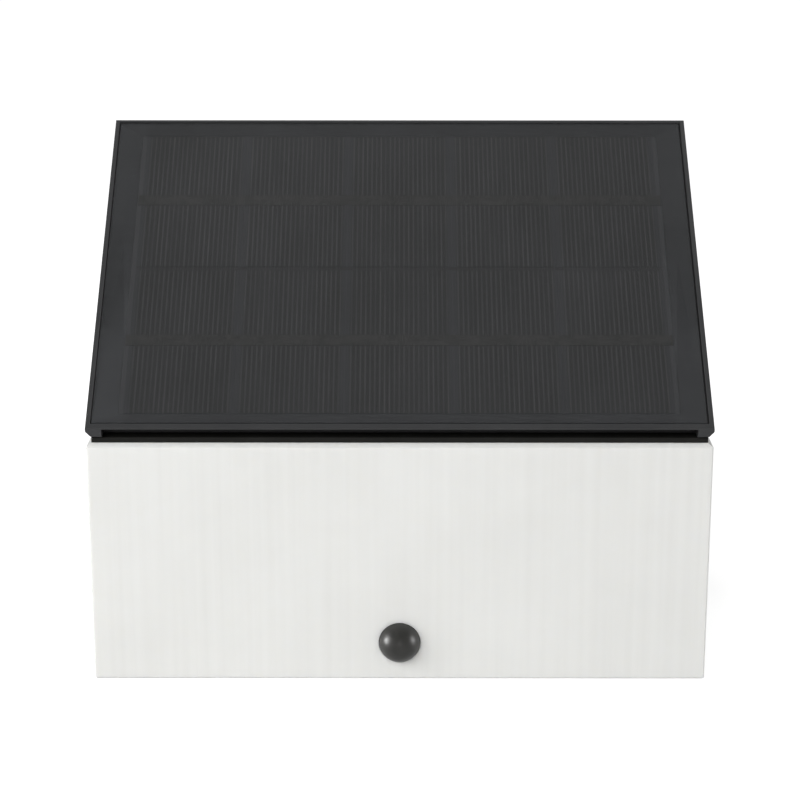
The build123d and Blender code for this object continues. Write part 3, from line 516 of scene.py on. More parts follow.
def cellPitches():
    low, high = spanOnPanel("solar_cells")
    columns = (high.x - low.x + panelPrint["columnGap"]) / panelPrint["columns"]
    rows = (high.y - low.y + panelPrint["rowGap"]) / panelPrint["rows"]
    return columns, rows


columnPitch, rowPitch = cellPitches()


def makePanelPlaces():  # how far a point is from its cell column, the panel's middle and the row gap
    group, tree, given, out = makeGroup(
        "panelPlaces",
        [("Vector", "NodeSocketVector", None), ("Column Pitch", "NodeSocketFloat", columnPitch)],
        [
            ("From Column", "NodeSocketFloat"),
            ("From Middle", "NodeSocketFloat"),
            ("From Row Gap", "NodeSocketFloat"),
        ],
    )
    mapping = tree.add("ShaderNodeMapping", {"Vector": given.outputs["Vector"]}, vector_type="TEXTURE")
    mapping.inputs["Location"].default_value = panelAxes.translation
    mapping.inputs["Rotation"].default_value = panelAxes.to_euler()
    x, y, z = tree.axes(mapping.outputs[0])
    half = tree.math("MULTIPLY", given.outputs["Column Pitch"], 0.5)
    tree.put(out.inputs["From Column"], tree.math("PINGPONG", x, half))
    tree.put(out.inputs["From Middle"], tree.math("ABSOLUTE", x))
    tree.put(out.inputs["From Row Gap"], tree.math("ABSOLUTE", y))
    return group


panelPlaces = makePanelPlaces()


coverFinish = {  # clear sheet over the cells
    "alpha": 0.34,
    "refraction": 1.4,
    "specular": 0.4,
    "dark": colour(0.046, 0.047, 0.048),
    "light": colour(0.054, 0.055, 0.057),
    "patch": 30 * mm,
    "grain": 0.3 * mm,
    "grainDepth": 0.005 * mm,
    "roughness": (0.46, 0.54),
}


def makeCoverMaterial():
    look = coverFinish
    cover = Finish(
        "coverSheet", Alpha=look["alpha"], IOR=look["refraction"], Specular_IOR_Level=look["specular"]
    )
    emboss = cover.group(mouldGrain, Grain_Size=look["grain"])
    cover.tones(cover.group(softSmudge, Patch_Size=look["patch"])["Mask"], look["dark"], look["light"])
    cover.roughness(emboss["Speck"], *look["roughness"])
    cover.bump(emboss["Height"], look["grainDepth"])
    materials["coverSheet"] = cover


backboardFinish = {
    "dark": colour(0.078, 0.081, 0.087),
    "light": colour(0.09, 0.093, 0.1),
    "sideDark": colour(0.096, 0.1, 0.107),  # beside the cells
    "sideLight": colour(0.106, 0.11, 0.118),
    "gapTone": colour(0.045, 0.045, 0.046),  # between the rows
    "gapLine": 0.5 * mm,  # to each side of the gap's middle
    "gapFade": 0.5 * mm,
    "endFade": 1.0 * mm,  # of the gap's line, where the cells end
    "specular": 0.4,
    "patch": 20 * mm,
    "grain": 0.5 * mm,
    "grainDepth": 0.004 * mm,
    "roughness": (0.55, 0.65),
}


def makeBackboardMaterial():
    look = backboardFinish
    board = Finish("panelBoard", Specular_IOR_Level=look["specular"])
    smudge = board.group(softSmudge, Patch_Size=look["patch"])["Mask"]
    places = board.group(panelPlaces)
    gapEdge = look["gapLine"] + look["gapFade"]
    nearGap = board.tree.ramp(places["From Row Gap"], look["gapLine"], gapEdge, 1.0, 0.0)
    cellsEnd = columnPitch * panelPrint["columns"] / 2
    amongCells = board.tree.ramp(places["From Middle"], cellsEnd - look["endFade"], cellsEnd, 1.0, 0.0)
    margin = board.tree.mix(smudge, look["dark"], look["light"])
    sideMargin = board.tree.mix(smudge, look["sideDark"], look["sideLight"])
    margin = board.tree.mix(amongCells, sideMargin, margin)
    board.tones(board.tree.math("MULTIPLY", nearGap, amongCells), margin, look["gapTone"])
    weave = board.group(mouldGrain, Grain_Size=look["grain"])
    board.roughness(weave["Speck"], *look["roughness"])
    board.bump(weave["Height"], look["grainDepth"])
    materials["panelBoard"] = board


cellFinish = {
    "dark": colour(0.022, 0.0225, 0.023),
    "light": colour(0.034, 0.0345, 0.035),
    "borderDark": colour(0.052, 0.0545, 0.06),
    "borderLight": colour(0.062, 0.0645, 0.071),
    "borderFrom": 14.2 * mm,  # from a column's middle
    "borderFade": 0.4 * mm,
    "specular": 0.45,
    "crystal": 1.2 * mm,
    "streak": 2.2 * mm,
    "streakStretch": (1.0, 0.02, 0.02),
    "streakContrast": (0.35, 0.65),
    "streakShare": 0.7,  # of the tone, the rest follows the crystals
    "roughness": (0.4, 0.55),
}


def makeCellMaterial():
    look = cellFinish
    cell = Finish("cellSilicon", Specular_IOR_Level=look["specular"])
    crystal = cell.group(mouldGrain, Grain_Size=look["crystal"])["Speck"]
    streaks = cell.group(drawnLines, Line_Width=look["streak"], Stretch=look["streakStretch"])["Height"]
    streaks = cell.tree.ramp(streaks, *look["streakContrast"])
    fromColumn = cell.group(panelPlaces)["From Column"]
    borderEnd = look["borderFrom"] + look["borderFade"]
    border = cell.tree.ramp(fromColumn, look["borderFrom"], borderEnd)
    spot = cell.tree.blend(look["streakShare"], crystal, streaks)
    field = cell.tree.mix(spot, look["dark"], look["light"])
    edge = cell.tree.mix(crystal, look["borderDark"], look["borderLight"])
    cell.tones(border, field, edge)
    cell.roughness(crystal, *look["roughness"])
    materials["cellSilicon"] = cell


printFinish = {  # the fingers' silver paste
    "dark": colour(0.055, 0.055, 0.056),
    "light": colour(0.12, 0.12, 0.121),
    "roughness": 0.55,
    "blotch": 1.3 * mm,
    "blotchStretch": (1.0, 0.05, 0.05),
    "contrast": (0.3, 0.7),
}


def makeFingerMaterial():
    look = printFinish
    finger = Finish("printedFinger", Roughness=look["roughness"])
    blotch = finger.group(drawnLines, Line_Width=look["blotch"], Stretch=look["blotchStretch"])["Height"]
    finger.tones(finger.tree.ramp(blotch, *look["contrast"]), look["dark"], look["light"])
    materials["printedFinger"] = finger


ribbonFinish = {
    "dark": colour(0.036, 0.035, 0.031),
    "light": colour(0.076, 0.075, 0.069),
    "metallic": 0.1,
    "solder": 2.6 * mm,
    "solderDepth": 0.03 * mm,
    "roughness": (0.45, 0.65),
}


def makeRibbonMaterial():
    look = ribbonFinish
    ribbon = Finish("busRibbon", Metallic=look["metallic"])
    solder = ribbon.group(mouldGrain, Grain_Size=look["solder"])
    ribbon.tones(solder["Speck"], look["dark"], look["light"])
    ribbon.roughness(solder["Speck"], *look["roughness"])
    ribbon.bump(solder["Height"], look["solderDepth"])
    materials["busRibbon"] = ribbon


makeCoverMaterial()
makeBackboardMaterial()
makeCellMaterial()
makeFingerMaterial()
makeRibbonMaterial()
print("panel materials made")


domeFinish = {
    "dark": colour(0.017, 0.017, 0.015),
    "light": colour(0.024, 0.023, 0.021),
    "refraction": 1.5,
    "patch": 3 * mm,
    "roughness": (0.36, 0.4),
}


def makeDomeMaterial():  # smooth charcoal lens
    look = domeFinish
    dome = Finish("domeTint", IOR=look["refraction"])
    smudge = dome.group(softSmudge, Patch_Size=look["patch"])["Mask"]
    dome.tones(smudge, look["dark"], look["light"])
    dome.roughness(smudge, *look["roughness"])
    materials["domeTint"] = dome


boardFinish = {  # circuit boards, whose traces show through the mask
    "mask": {
        "boardGreen": (colour(0.012, 0.075, 0.03), colour(0.02, 0.11, 0.045)),
        "boardWhite": (colour(0.74, 0.74, 0.71), colour(0.8, 0.8, 0.78)),
    },
    "coat": 0.5,
    "coatRoughness": 0.2,
    "traceScale": 110.0,  # of the pattern, to the metre
    "traceWidth": 0.03,  # in the pattern's own measure
    "traceDepth": 0.03 * mm,
    "grain": 0.4 * mm,
    "roughness": (0.35, 0.45),
}


def makeBoardMaterial(name, dark, light):
    look = boardFinish
    board = Finish(name, Coat_Weight=look["coat"], Coat_Roughness=look["coatRoughness"])
    traces = board.tree.add(
        "ShaderNodeTexBrick",
        {
            "Vector": board.coords,
            "Scale": look["traceScale"],
            "Mortar Size": look["traceWidth"],
            "Color1": dark,
            "Color2": dark,
            "Mortar": light,
        },
    )
    board.link("Base Color", traces.outputs["Color"])
    grain = board.group(mouldGrain, Grain_Size=look["grain"])
    board.roughness(grain["Speck"], *look["roughness"])
    board.bump(traces.outputs["Fac"], look["traceDepth"])
    materials[name] = board


phosphorFinish = {
    "dark": colour(0.82, 0.6, 0.12),
    "light": colour(0.9, 0.72, 0.2),
    "grain": 0.2 * mm,
    "roughness": 0.35,
}


def makePhosphorMaterial():
    look = phosphorFinish
    phosphor = Finish("ledPhosphor", Roughness=look["roughness"])
    speck = phosphor.group(mouldGrain, Grain_Size=look["grain"])["Speck"]
    phosphor.tones(speck, look["dark"], look["light"])
    materials["ledPhosphor"] = phosphor


wrapFinish = {  # shrink wrap of the battery cell
    "dark": colour(0.012, 0.07, 0.2),
    "light": colour(0.018, 0.1, 0.27),
    "coat": 0.4,
    "coatRoughness": 0.12,
    "patch": 12 * mm,
    "crease": 1.2 * mm,
    "creaseStretch": (0.1, 1.0, 1.0),
    "creaseDepth": 0.03 * mm,
    "roughness": (0.25, 0.38),
}


def makeWrapMaterial():
    look = wrapFinish
    wrap = Finish("batteryWrap", Coat_Weight=look["coat"], Coat_Roughness=look["coatRoughness"])
    creases = wrap.group(drawnLines, Line_Width=look["crease"], Stretch=look["creaseStretch"])["Height"]
    smudge = wrap.group(softSmudge, Patch_Size=look["patch"])["Mask"]
    wrap.tones(smudge, look["dark"], look["light"])
    wrap.roughness(smudge, *look["roughness"])
    wrap.bump(creases, look["creaseDepth"])
    materials["batteryWrap"] = wrap


makeDomeMaterial()
for name, mask in boardFinish["mask"].items():
    makeBoardMaterial(name, *mask)
makePhosphorMaterial()
makeWrapMaterial()
print("materials made:", len(materials))


# CAD pieces that are shown as they are, and the finish of each

carriedOver = {
    "hood_seal": "sealRubber",
    "diffuser_seal": "sealRubber",
    "panel_adhesive": "foamTape",
    "panel_backboard": "panelBoard",
    "solar_cells": "cellSilicon",
    "bus_ribbons": "busRibbon",
    "panel_cover": "coverSheet",
    "reflector": "reflectorWhite",
    "led_board": "boardWhite",
    "led_connector": "connectorNylon",
    "main_board": "boardGreen",
    "charge_chips": "chipMould",
    "capacitors": "capacitorCan",
    "inductor": "ferrite",
    "board_connectors": "connectorNylon",
    "battery_cell": "batteryWrap",
    "battery_tray": "trayBlack",
    "battery_contacts": "springNickel",
    "battery_door_seal": "sealRubber",
    "pir_holder": "trayBlack",
    "pir_sensor": "sensorCan",
    "pir_board": "boardGreen",
    "pir_grommet": "sealRubber",
    "power_button": "buttonRubber",
    "button_clip": "clipSteel",
    "switch_stem": "switchBlack",
    "tact_switch": "switchBlack",
    "lead_grommet": "sealRubber",
    "panel_lead": "leadSheath",
    "battery_lead": "leadSheath",
    "led_lead": "leadSheath",
    "pir_lead": "leadSheath",
}


def dress(piece, finish):
    piece.data.materials.clear()
    piece.data.materials.append(materials[finish].material)


for nodeName, finishName in carriedOver.items():
    dress(nodes[nodeName], finishName)
print("CAD pieces dressed:", len(carriedOver))


# Meshes read from the frame

weldDistance = 0.001 * mm


def mergedShape(nodeName):
    shape = bmesh.new()
    shape.from_mesh(nodes[nodeName].data)
    bmesh.ops.remove_doubles(shape, verts=shape.verts, dist=weldDistance)
    return shape


def solidsOf(nodeName):
    # lowest and highest corner of each separate solid of a node
    shape = mergedShape(nodeName)
    left, found = set(shape.verts), []
    for vert in shape.verts:
        if vert not in left:
            continue
        left.discard(vert)
        waiting, island = [vert], []
        while waiting:
            here = waiting.pop()
            island.append(here.co.copy())
            for edge in here.link_edges:
                other = edge.other_vert(here)
                if other in left:
                    left.discard(other)
                    waiting.append(other)
        found.append(cornersOf(island))
    shape.free()
    return found


def newPiece(name, mesh, finish, nodeName, body="lamp"):
    piece = bpy.data.objects.new(name, mesh)
    scene.collection.objects.link(piece)
    return settle(piece, finish, nodeName, body)


def settle(piece, finish, nodeName, body="lamp"):
    if finish:
        dress(piece, finish)
    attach(piece, body)
    if nodeName:
        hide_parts(nodeName)
    return piece


# Geometry node trees


class GeometryTree(Tree):  # a tree with named sizes, and short ways to place, shape and coat things
    def __init__(self, name, inputs):
        super().__init__(bpy.data.node_groups.new(name, "GeometryNodeTree"))
        face = self.tree.interface
        face.new_socket("Geometry", in_out="INPUT", socket_type="NodeSocketGeometry")
        face.new_socket("Geometry", in_out="OUTPUT", socket_type="NodeSocketGeometry")
        self.names = {}
        for label, kind in inputs:
            self.names[label] = face.new_socket(label, in_out="INPUT", socket_type=kind).identifier
        self.given = self.add("NodeGroupInput").outputs

    def row(self, count, pitch, axis, thing):
        # copies of a thing in a centred row
        first = self.math("MULTIPLY", self.math("SUBTRACT", count, 1), self.math("MULTIPLY", pitch, -0.5))
        start, step = self.point(**{axis: first}), self.point(**{axis: pitch})
        line = self.add("GeometryNodeMeshLine", {"Count": count, "Start Location": start, "Offset": step})
        return self.copies(line.outputs["Mesh"], thing)

    def copies(self, points, thing, **settings):
        node = self.add("GeometryNodeInstanceOnPoints", {"Points": points, "Instance": thing, **settings})
        return node.outputs["Instances"]

    def cube(self, size, middle=(0, 0, 0)):
        box = self.add("GeometryNodeMeshCube", {"Size": size}).outputs["Mesh"]
        return self.moved(box, Translation=middle)

    def moved(self, thing, **settings):
        return self.add("GeometryNodeTransform", {"Geometry": thing, **settings}).outputs[0]

    def shaped(self, thing, **axes):
        # each point of a thing at its own new place
        place = self.point(**axes)
        return self.add("GeometryNodeSetPosition", {"Geometry": thing, "Position": place}).outputs[0]

    def cut(self, thing, *tools):
        node = self.add("GeometryNodeMeshBoolean", {"Mesh 1": thing}, operation="DIFFERENCE", solver="EXACT")
        for tool in tools:
            self.put(node.inputs["Mesh 2"], tool)
        return node.outputs[0]

    def coated(self, thing, finish):
        material = materials[finish].material
        return self.add("GeometryNodeSetMaterial", {"Geometry": thing, "Material": material}).outputs[0]

    def real(self, thing):
        return self.add("GeometryNodeRealizeInstances", {"Geometry": thing}).outputs[0]

    def end(self, thing):
        self.put(self.add("NodeGroupOutput").inputs["Geometry"], thing)

    def grow(self, name, values, points=((0, 0, 0),), place=Matrix()):
        # runs the tree on points and keeps what comes out as a plain mesh
        mesh = bpy.data.meshes.new(name)
        mesh.from_pydata(points, [], [])
        piece = bpy.data.objects.new(name, mesh)
        scene.collection.objects.link(piece)
        modifier = piece.modifiers.new(name, "NODES")
        modifier.node_group = self.tree
        for label, value in values.items():
            modifier[self.names[label]] = value
        ready = piece.evaluated_get(bpy.context.evaluated_depsgraph_get())
        plain = bpy.data.meshes.new_from_object(ready)
        piece.modifiers.remove(modifier)
        plain.transform(place)
        piece.data = plain
        return piece


# Solar panel


def makeFingers():
    tree = GeometryTree(
        "printedFingers",
        [
            ("Finger Size", "NodeSocketVector"),
            ("Fingers", "NodeSocketInt"),
            ("Finger Pitch", "NodeSocketFloat"),
            ("Half Pitch", "NodeSocketFloat"),
            ("Rows", "NodeSocketInt"),
            ("Row Pitch", "NodeSocketFloat"),
            ("Columns", "NodeSocketInt"),
            ("Column Pitch", "NodeSocketFloat"),
        ],
    )
    given = tree.given
    finger = tree.cube(given["Finger Size"])
    strips = tree.row(given["Fingers"], given["Finger Pitch"], "X", finger)
    halves = tree.row(2, given["Half Pitch"], "Y", strips)
    rows = tree.row(given["Rows"], given["Row Pitch"], "Y", halves)
    columns = tree.row(given["Columns"], given["Column Pitch"], "X", rows)
    tree.end(tree.coated(tree.real(columns), "printedFinger"))
    low, high = spanOnPanel("solar_cells")
    ribbonLow, ribbonHigh = spanOnPanel("bus_ribbons")
    size = panelPrint
    cellWidth, cellLength = columnPitch - size["columnGap"], rowPitch - size["rowGap"]
    ribbonHalf = (ribbonHigh.y - ribbonLow.y - rowPitch) / 2
    inner, outer = ribbonHalf + size["ribbonEdge"], cellLength / 2 - size["cellEdge"]
    pitch = (cellWidth - 2 * size["sideEdge"] - size["fingerWidth"]) / (size["fingers"] - 1)
    middle = Vector(((low.x + high.x) / 2, (low.y + high.y) / 2, high.z + size["fingerThickness"] / 2))
    piece = tree.grow(
        "panelFingers",
        {
            "Finger Size": (size["fingerWidth"], outer - inner, size["fingerThickness"]),
            "Fingers": size["fingers"],
            "Finger Pitch": pitch,
            "Half Pitch": inner + outer,
            "Rows": size["rows"],
            "Row Pitch": rowPitch,
            "Columns": size["columns"],
            "Column Pitch": columnPitch,
        },
        place=panelAxes @ Matrix.Translation(middle),
    )
    settle(piece, None, None)


makeFingers()
print("panel printed")


# Casing with its edges eased, as a mould or a file leaves them

easedCasing = {
    "facet": 0.4,  # degrees between faces that are one flat face
    "sharp": 30,  # degrees from which an edge is eased
    "shortest": 2.5 * mm,  # of the edges that are eased
    "profile": 0.5,  # round
    "smooth": 25,  # degrees up to which faces shade as one
    "steps": 2,
    "faceWeight": 95,  # of 100, for large faces over small ones
    "clear": 0.3,  # metres of free room that an outer edge looks into
    "lookFrom": 0.05 * mm,  # off the edge
}


def outerEdges(shape):
    # long convex edges that nothing of the same piece hides
    plain = shape.copy()
    bmesh.ops.triangulate(plain, faces=plain.faces)
    surface = BVHTree.FromBMesh(plain)
    plain.free()
    found = []
    for edge in shape.edges:
        if not edge.is_convex or edge.calc_length() < easedCasing["shortest"]:
            continue
        if edge.calc_face_angle() < math.radians(easedCasing["sharp"]):
            continue
        outwards = (edge.link_faces[0].normal + edge.link_faces[1].normal).normalized()
        middle = (edge.verts[0].co + edge.verts[1].co) / 2
        start = middle + outwards * easedCasing["lookFrom"]
        if surface.ray_cast(start, outwards, easedCasing["clear"])[0] is None:
            found.append(edge)
    return found


def faceWeighted(mesh):
    # large faces keep their own shading where they run into rounded ones
    piece = bpy.data.objects.new(mesh.name, mesh)
    scene.collection.objects.link(piece)
    modifier = piece.modifiers.new("faceWeights", "WEIGHTED_NORMAL")
    modifier.keep_sharp = True
    modifier.weight = easedCasing["faceWeight"]
    ready = piece.evaluated_get(bpy.context.evaluated_depsgraph_get())
    plain = bpy.data.meshes.new_from_object(ready)
    bpy.data.objects.remove(piece)
    return plain


def easePiece(name, nodeName, width, finish, body):
    shape = mergedShape(nodeName)
    bmesh.ops.dissolve_limit(
        shape, angle_limit=math.radians(easedCasing["facet"]), verts=shape.verts, edges=shape.edges
    )
    eased = bmesh.ops.bevel(
        shape,
        geom=outerEdges(shape),
        offset=width,
        offset_type="OFFSET",
        segments=easedCasing["steps"],
        profile=easedCasing["profile"],
        affect="EDGES",
        clamp_overlap=False,
        miter_outer="ARC",
    )
    rounded = set(eased["faces"])
    limit = math.radians(easedCasing["smooth"])
    for face in shape.faces:
        face.smooth = True
    for edge in shape.edges:
        sides = [face in rounded for face in edge.link_faces]
        edge.smooth = all(sides) or (not any(sides) and edge.calc_face_angle() < limit)
    bmesh.ops.triangulate(shape, faces=[face for face in shape.faces if len(face.verts) > 4])
    mesh = bpy.data.meshes.new(name)
    shape.to_mesh(mesh)
    shape.free()
    newPiece(name, faceWeighted(mesh), finish, nodeName, body)


easedPieces = {  # the CAD node, the width that is eased, the finish, the slot and the body
    "roofShell": ("hood", 0.2 * mm, "blackShell", "black_shell", "lamp"),
    # the chassis takes the darker black, whose extra darkness is painted shade for the groove under the lip
    "backShell": ("chassis", 0.12 * mm, "deckBlackAndPaintedShade", "black_shell", "lamp"),
    "opalBox": ("diffuser", 0.1 * mm, "opalShell", "opal_shell", "lamp"),
    "doorPlate": ("battery_door", 0.25 * mm, "blackShell", "black_shell", "battery_door"),
    "wallPlate": ("wall_bracket", 0.2 * mm, "bracketCoat", "bracket_steel", "bracket"),
}

for name, (nodeName, width, finish, slotName, body) in easedPieces.items():
    easePiece(name, nodeName, width, finish, body)
print("casing eased")


# Sensor dome

domeShape = {
    "around": 96,
    "capSteps": 24,
    "wall": 0.9 * mm,
    "flange": 1.0 * mm,  # thick
    "rimReach": 0.01 * mm,  # behind the box's face, where the rim is measured
    "weld": 0.002 * mm,
    "smooth": 35,  # degrees
}


def arcOf(radius, middle, turn, steps):
    # points from the dome's tip, turned away from the front
    return [
        (radius * math.sin(turn * step / steps), middle - radius * math.cos(turn * step / steps))
        for step in range(steps + 1)
    ]


def makeDome():
    size = domeShape
    low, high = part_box("pir_lens")
    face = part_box("diffuser")[0].y
    height = (low.z + high.z) / 2
    flange = (high.z - low.z) / 2
    rim = max(
        math.hypot(vertex.co.x, vertex.co.z - height)
        for vertex in nodes["pir_lens"].data.vertices
        if vertex.co.y < face + size["rimReach"]
    )
    reach = face - low.y
    ball = (rim**2 + reach**2) / (2 * reach)
    middle = low.y + ball
    inner, bore = ball - size["wall"], rim - size["wall"]
    flangeFront = high.y - size["flange"]
    outline = arcOf(ball, middle, math.asin(rim / ball), size["capSteps"])
    outline += [(rim, flangeFront), (flange, flangeFront), (flange, high.y), (bore, high.y)]
    outline += reversed(arcOf(inner, middle, math.asin(bore / inner), size["capSteps"]))
    shape = bmesh.new()
    verts = [shape.verts.new((radius, y, height)) for radius, y in outline]
    edges = [shape.edges.new(pair) for pair in zip(verts, verts[1:])]
    bmesh.ops.spin(
        shape,
        geom=verts + edges,
        cent=(0, 0, height),
        axis=(0, 1, 0),
        angle=2 * math.pi,
        steps=size["around"],
    )
    bmesh.ops.remove_doubles(shape, verts=shape.verts, dist=size["weld"])
    bmesh.ops.recalc_face_normals(shape, faces=shape.faces)
    mesh = bpy.data.meshes.new("sensorDome")
    shape.to_mesh(mesh)
    shape.free()
    mesh.shade_smooth()
    mesh.set_sharp_from_angle(angle=math.radians(size["smooth"]))
    return newPiece("sensorDome", mesh, "domeTint", "pir_lens")


sensorDome = makeDome()
print("dome turned")


# Screws, with domed heads, cross recesses and threads

screwShape = {
    "around": 20,
    "ringsToTurn": 6,  # of the thread
    "threadPitch": 0.36,  # of the shank's diameter
    "threadDepth": 0.16,  # of the shank's diameter
    "tipLength": 0.8,  # of the shank's diameter
    "tipSize": 0.4,  # of the shank's diameter
    "headAround": 32,
    "headRings": 4,
    "headSteps": 2,
    "dome": 0.34,  # of the head's height, lost at its rim
    "slotLength": 0.6,  # of the head's diameter
    "slotWidth": 0.14,  # of the head's diameter
    "slotDepth": 0.6,  # of the head's height
    "smooth": 32,  # degrees
    "seed": 7,
}


def threadedRod(tree, x, y, z):
    # a rod from the origin up, whose radius follows the thread and falls off at its tip
    given = tree.given
    length = given["Shank Length"]
    turns = tree.math("DIVIDE", length, given["Thread Pitch"])
    rod = tree.add(
        "GeometryNodeMeshCylinder",
        {
            "Vertices": screwShape["around"],
            "Side Segments": tree.math("MULTIPLY", turns, screwShape["ringsToTurn"]),
            "Radius": tree.math("MULTIPLY", given["Shank Size"], 0.5),
            "Depth": length,
        },
        fill_type="TRIANGLE_FAN",
    ).outputs["Mesh"]
    rod = tree.moved(rod, Translation=tree.point(Z=tree.math("MULTIPLY", length, 0.5)))
    angle = tree.math("DIVIDE", tree.math("ARCTAN2", y, x), 2 * math.pi)
    phase = tree.math("FRACT", tree.math("SUBTRACT", tree.math("DIVIDE", z, given["Thread Pitch"]), angle))
    crest = tree.math("ABSOLUTE", tree.math("SUBTRACT", tree.math("MULTIPLY", phase, 2), 1))
    cut = tree.math("DIVIDE", given["Thread Depth"], given["Shank Size"])
    cut = tree.math("MULTIPLY", tree.math("MULTIPLY", cut, 2), tree.math("SUBTRACT", 1, crest))
    toTip = tree.math("DIVIDE", tree.math("SUBTRACT", length, z), given["Tip Length"], clamp=True)
    taper = tree.math("MULTIPLY", toTip, 1 - screwShape["tipSize"])
    taper = tree.math("ADD", taper, screwShape["tipSize"])
    scale = tree.math("MULTIPLY", tree.math("SUBTRACT", 1, cut), taper)
    return tree.shaped(rod, X=tree.math("MULTIPLY", x, scale), Y=tree.math("MULTIPLY", y, scale), Z=z)


def crossedHead(tree, x, y, z):
    # a disc from the origin down, which falls off towards its rim, with a crossed recess
    given = tree.given
    tall = given["Head Height"]
    head = tree.add(
        "GeometryNodeMeshCylinder",
        {
            "Vertices": screwShape["headAround"],
            "Side Segments": screwShape["headSteps"],
            "Fill Segments": screwShape["headRings"],
            "Radius": tree.math("MULTIPLY", given["Head Size"], 0.5),
            "Depth": tall,
        },
        fill_type="TRIANGLE_FAN",
    ).outputs["Mesh"]
    head = tree.moved(head, Translation=tree.point(Z=tree.math("MULTIPLY", tall, -0.5)))
    outwards = tree.math("ADD", tree.math("MULTIPLY", x, x), tree.math("MULTIPLY", y, y))
    square = tree.math("MULTIPLY", given["Head Size"], given["Head Size"])
    outwards = tree.math("DIVIDE", tree.math("MULTIPLY", outwards, 4), square)
    fall = tree.math("DIVIDE", tree.math("MULTIPLY", z, -1), tall)
    fall = tree.math("MULTIPLY", fall, given["Head Dome"])
    low = tree.math("SUBTRACT", 1, tree.math("MULTIPLY", fall, outwards))
    head = tree.shaped(head, X=x, Y=y, Z=tree.math("MULTIPLY", z, low))
    bar = tree.cube(given["Slot Size"], tree.point(Z=tree.math("MULTIPLY", tall, -1)))
    return tree.cut(head, bar, tree.moved(bar, Rotation=(0, 0, math.pi / 2)))


def makeScrewTree():
    tree = GeometryTree(
        "crossScrew",
        [
            ("Head Size", "NodeSocketFloat"),
            ("Head Height", "NodeSocketFloat"),
            ("Head Dome", "NodeSocketFloat"),
            ("Shank Size", "NodeSocketFloat"),
            ("Shank Length", "NodeSocketFloat"),
            ("Thread Pitch", "NodeSocketFloat"),
            ("Thread Depth", "NodeSocketFloat"),
            ("Tip Length", "NodeSocketFloat"),
            ("Slot Size", "NodeSocketVector"),
            ("Turn", "NodeSocketRotation"),
            ("Seed", "NodeSocketInt"),
        ],
    )
    x, y, z = tree.axes(tree.add("GeometryNodeInputPosition").outputs[0])
    rod = threadedRod(tree, x, y, z)
    head = crossedHead(tree, x, y, z)
    whole = tree.add("GeometryNodeMeshBoolean", operation="UNION", solver="EXACT")
    tree.put(whole.inputs["Mesh 2"], head)
    tree.put(whole.inputs["Mesh 2"], rod)
    # one screw at each point, each stopped at its own angle
    spin = tree.add("FunctionNodeRandomValue", data_type="FLOAT")
    tree.put(spin.inputs[2], 0.0)
    tree.put(spin.inputs[3], 2 * math.pi)
    tree.put(spin.inputs["Seed"], tree.given["Seed"])
    turned = tree.add(
        "FunctionNodeRotateRotation",
        {"Rotation": tree.given["Turn"], "Rotate By": tree.point(Z=spin.outputs[1])},
        rotation_space="LOCAL",
    )
    screws = tree.copies(tree.given["Geometry"], whole.outputs[0], Rotation=turned.outputs[0])
    tree.end(tree.coated(tree.real(screws), "zincScrew"))
    return tree


screwTree = makeScrewTree()

screwSizes = {
    "casing": {"shank": 3.0 * mm, "headHeight": 1.9 * mm},
    "board": {"shank": 2.2 * mm, "headHeight": 1.3 * mm},
    "door": {"shank": 3.0 * mm, "headHeight": 1.3 * mm},
}

screwSets = {  # the CAD node, the size, the way that the shanks point and the body
    "caseScrews": ("case_screws", "casing", (0, -1, 0), "lamp"),
    "hoodScrews": ("hood_screws", "casing", (0, 0, 1), "lamp"),
    "reflectorScrews": ("reflector_screws", "casing", (0, 1, 0), "lamp"),
    "ledBoardScrews": ("led_board_screws", "board", (0, 1, 0), "lamp"),
    "mainBoardScrews": ("main_board_screws", "board", (0, 1, 0), "lamp"),
    "sensorScrews": ("pir_holder_screws", "board", (0, -1, 0), "lamp"),
    "doorScrews": ("battery_door_screws", "door", (0, -1, 0), "battery_door"),
}


def makeScrews(name, nodeName, size, towards, body):
    shape = screwShape
    shank, headHeight = screwSizes[size]["shank"], screwSizes[size]["headHeight"]
    axis = next(index for index in range(3) if towards[index])
    side = (axis + 1) % 3
    solids = solidsOf(nodeName)
    extent = solids[0][1] - solids[0][0]
    headSize = extent[side]
    seats = []
    for low, high in solids:
        seat = (low + high) / 2
        seat[axis] = low[axis] + headHeight if towards[axis] > 0 else high[axis] - headHeight
        seats.append(seat)
    slot = (
        headSize * shape["slotLength"],
        headSize * shape["slotWidth"],
        2 * headHeight * shape["slotDepth"],
    )
    piece = screwTree.grow(
        name,
        {
            "Head Size": headSize,
            "Head Height": headHeight,
            "Head Dome": shape["dome"],
            "Shank Size": shank,
            "Shank Length": extent[axis] - headHeight,
            "Thread Pitch": shank * shape["threadPitch"],
            "Thread Depth": shank * shape["threadDepth"],
            "Tip Length": shank * shape["tipLength"],
            "Slot Size": slot,
            "Turn": Vector(towards).to_track_quat("Z", "Y").to_euler(),
            "Seed": shape["seed"],
        },
        points=seats,
    )
    piece.data.shade_smooth()
    piece.data.set_sharp_from_angle(angle=math.radians(shape["smooth"]))
    settle(piece, None, nodeName, body)


for name, (nodeName, size, towards, body) in screwSets.items():
    makeScrews(name, nodeName, size, towards, body)
print("screws made")


# Lamp chips on the light board

chipShape = {
    "window": 0.74,  # of the package's width
    "rimDepth": 0.25,  # of the package's thickness
    "phosphor": 0.3,  # thick, of the package's thickness
    "proud": 0.05 * mm,  # that the phosphor stands out of the well's floor
}


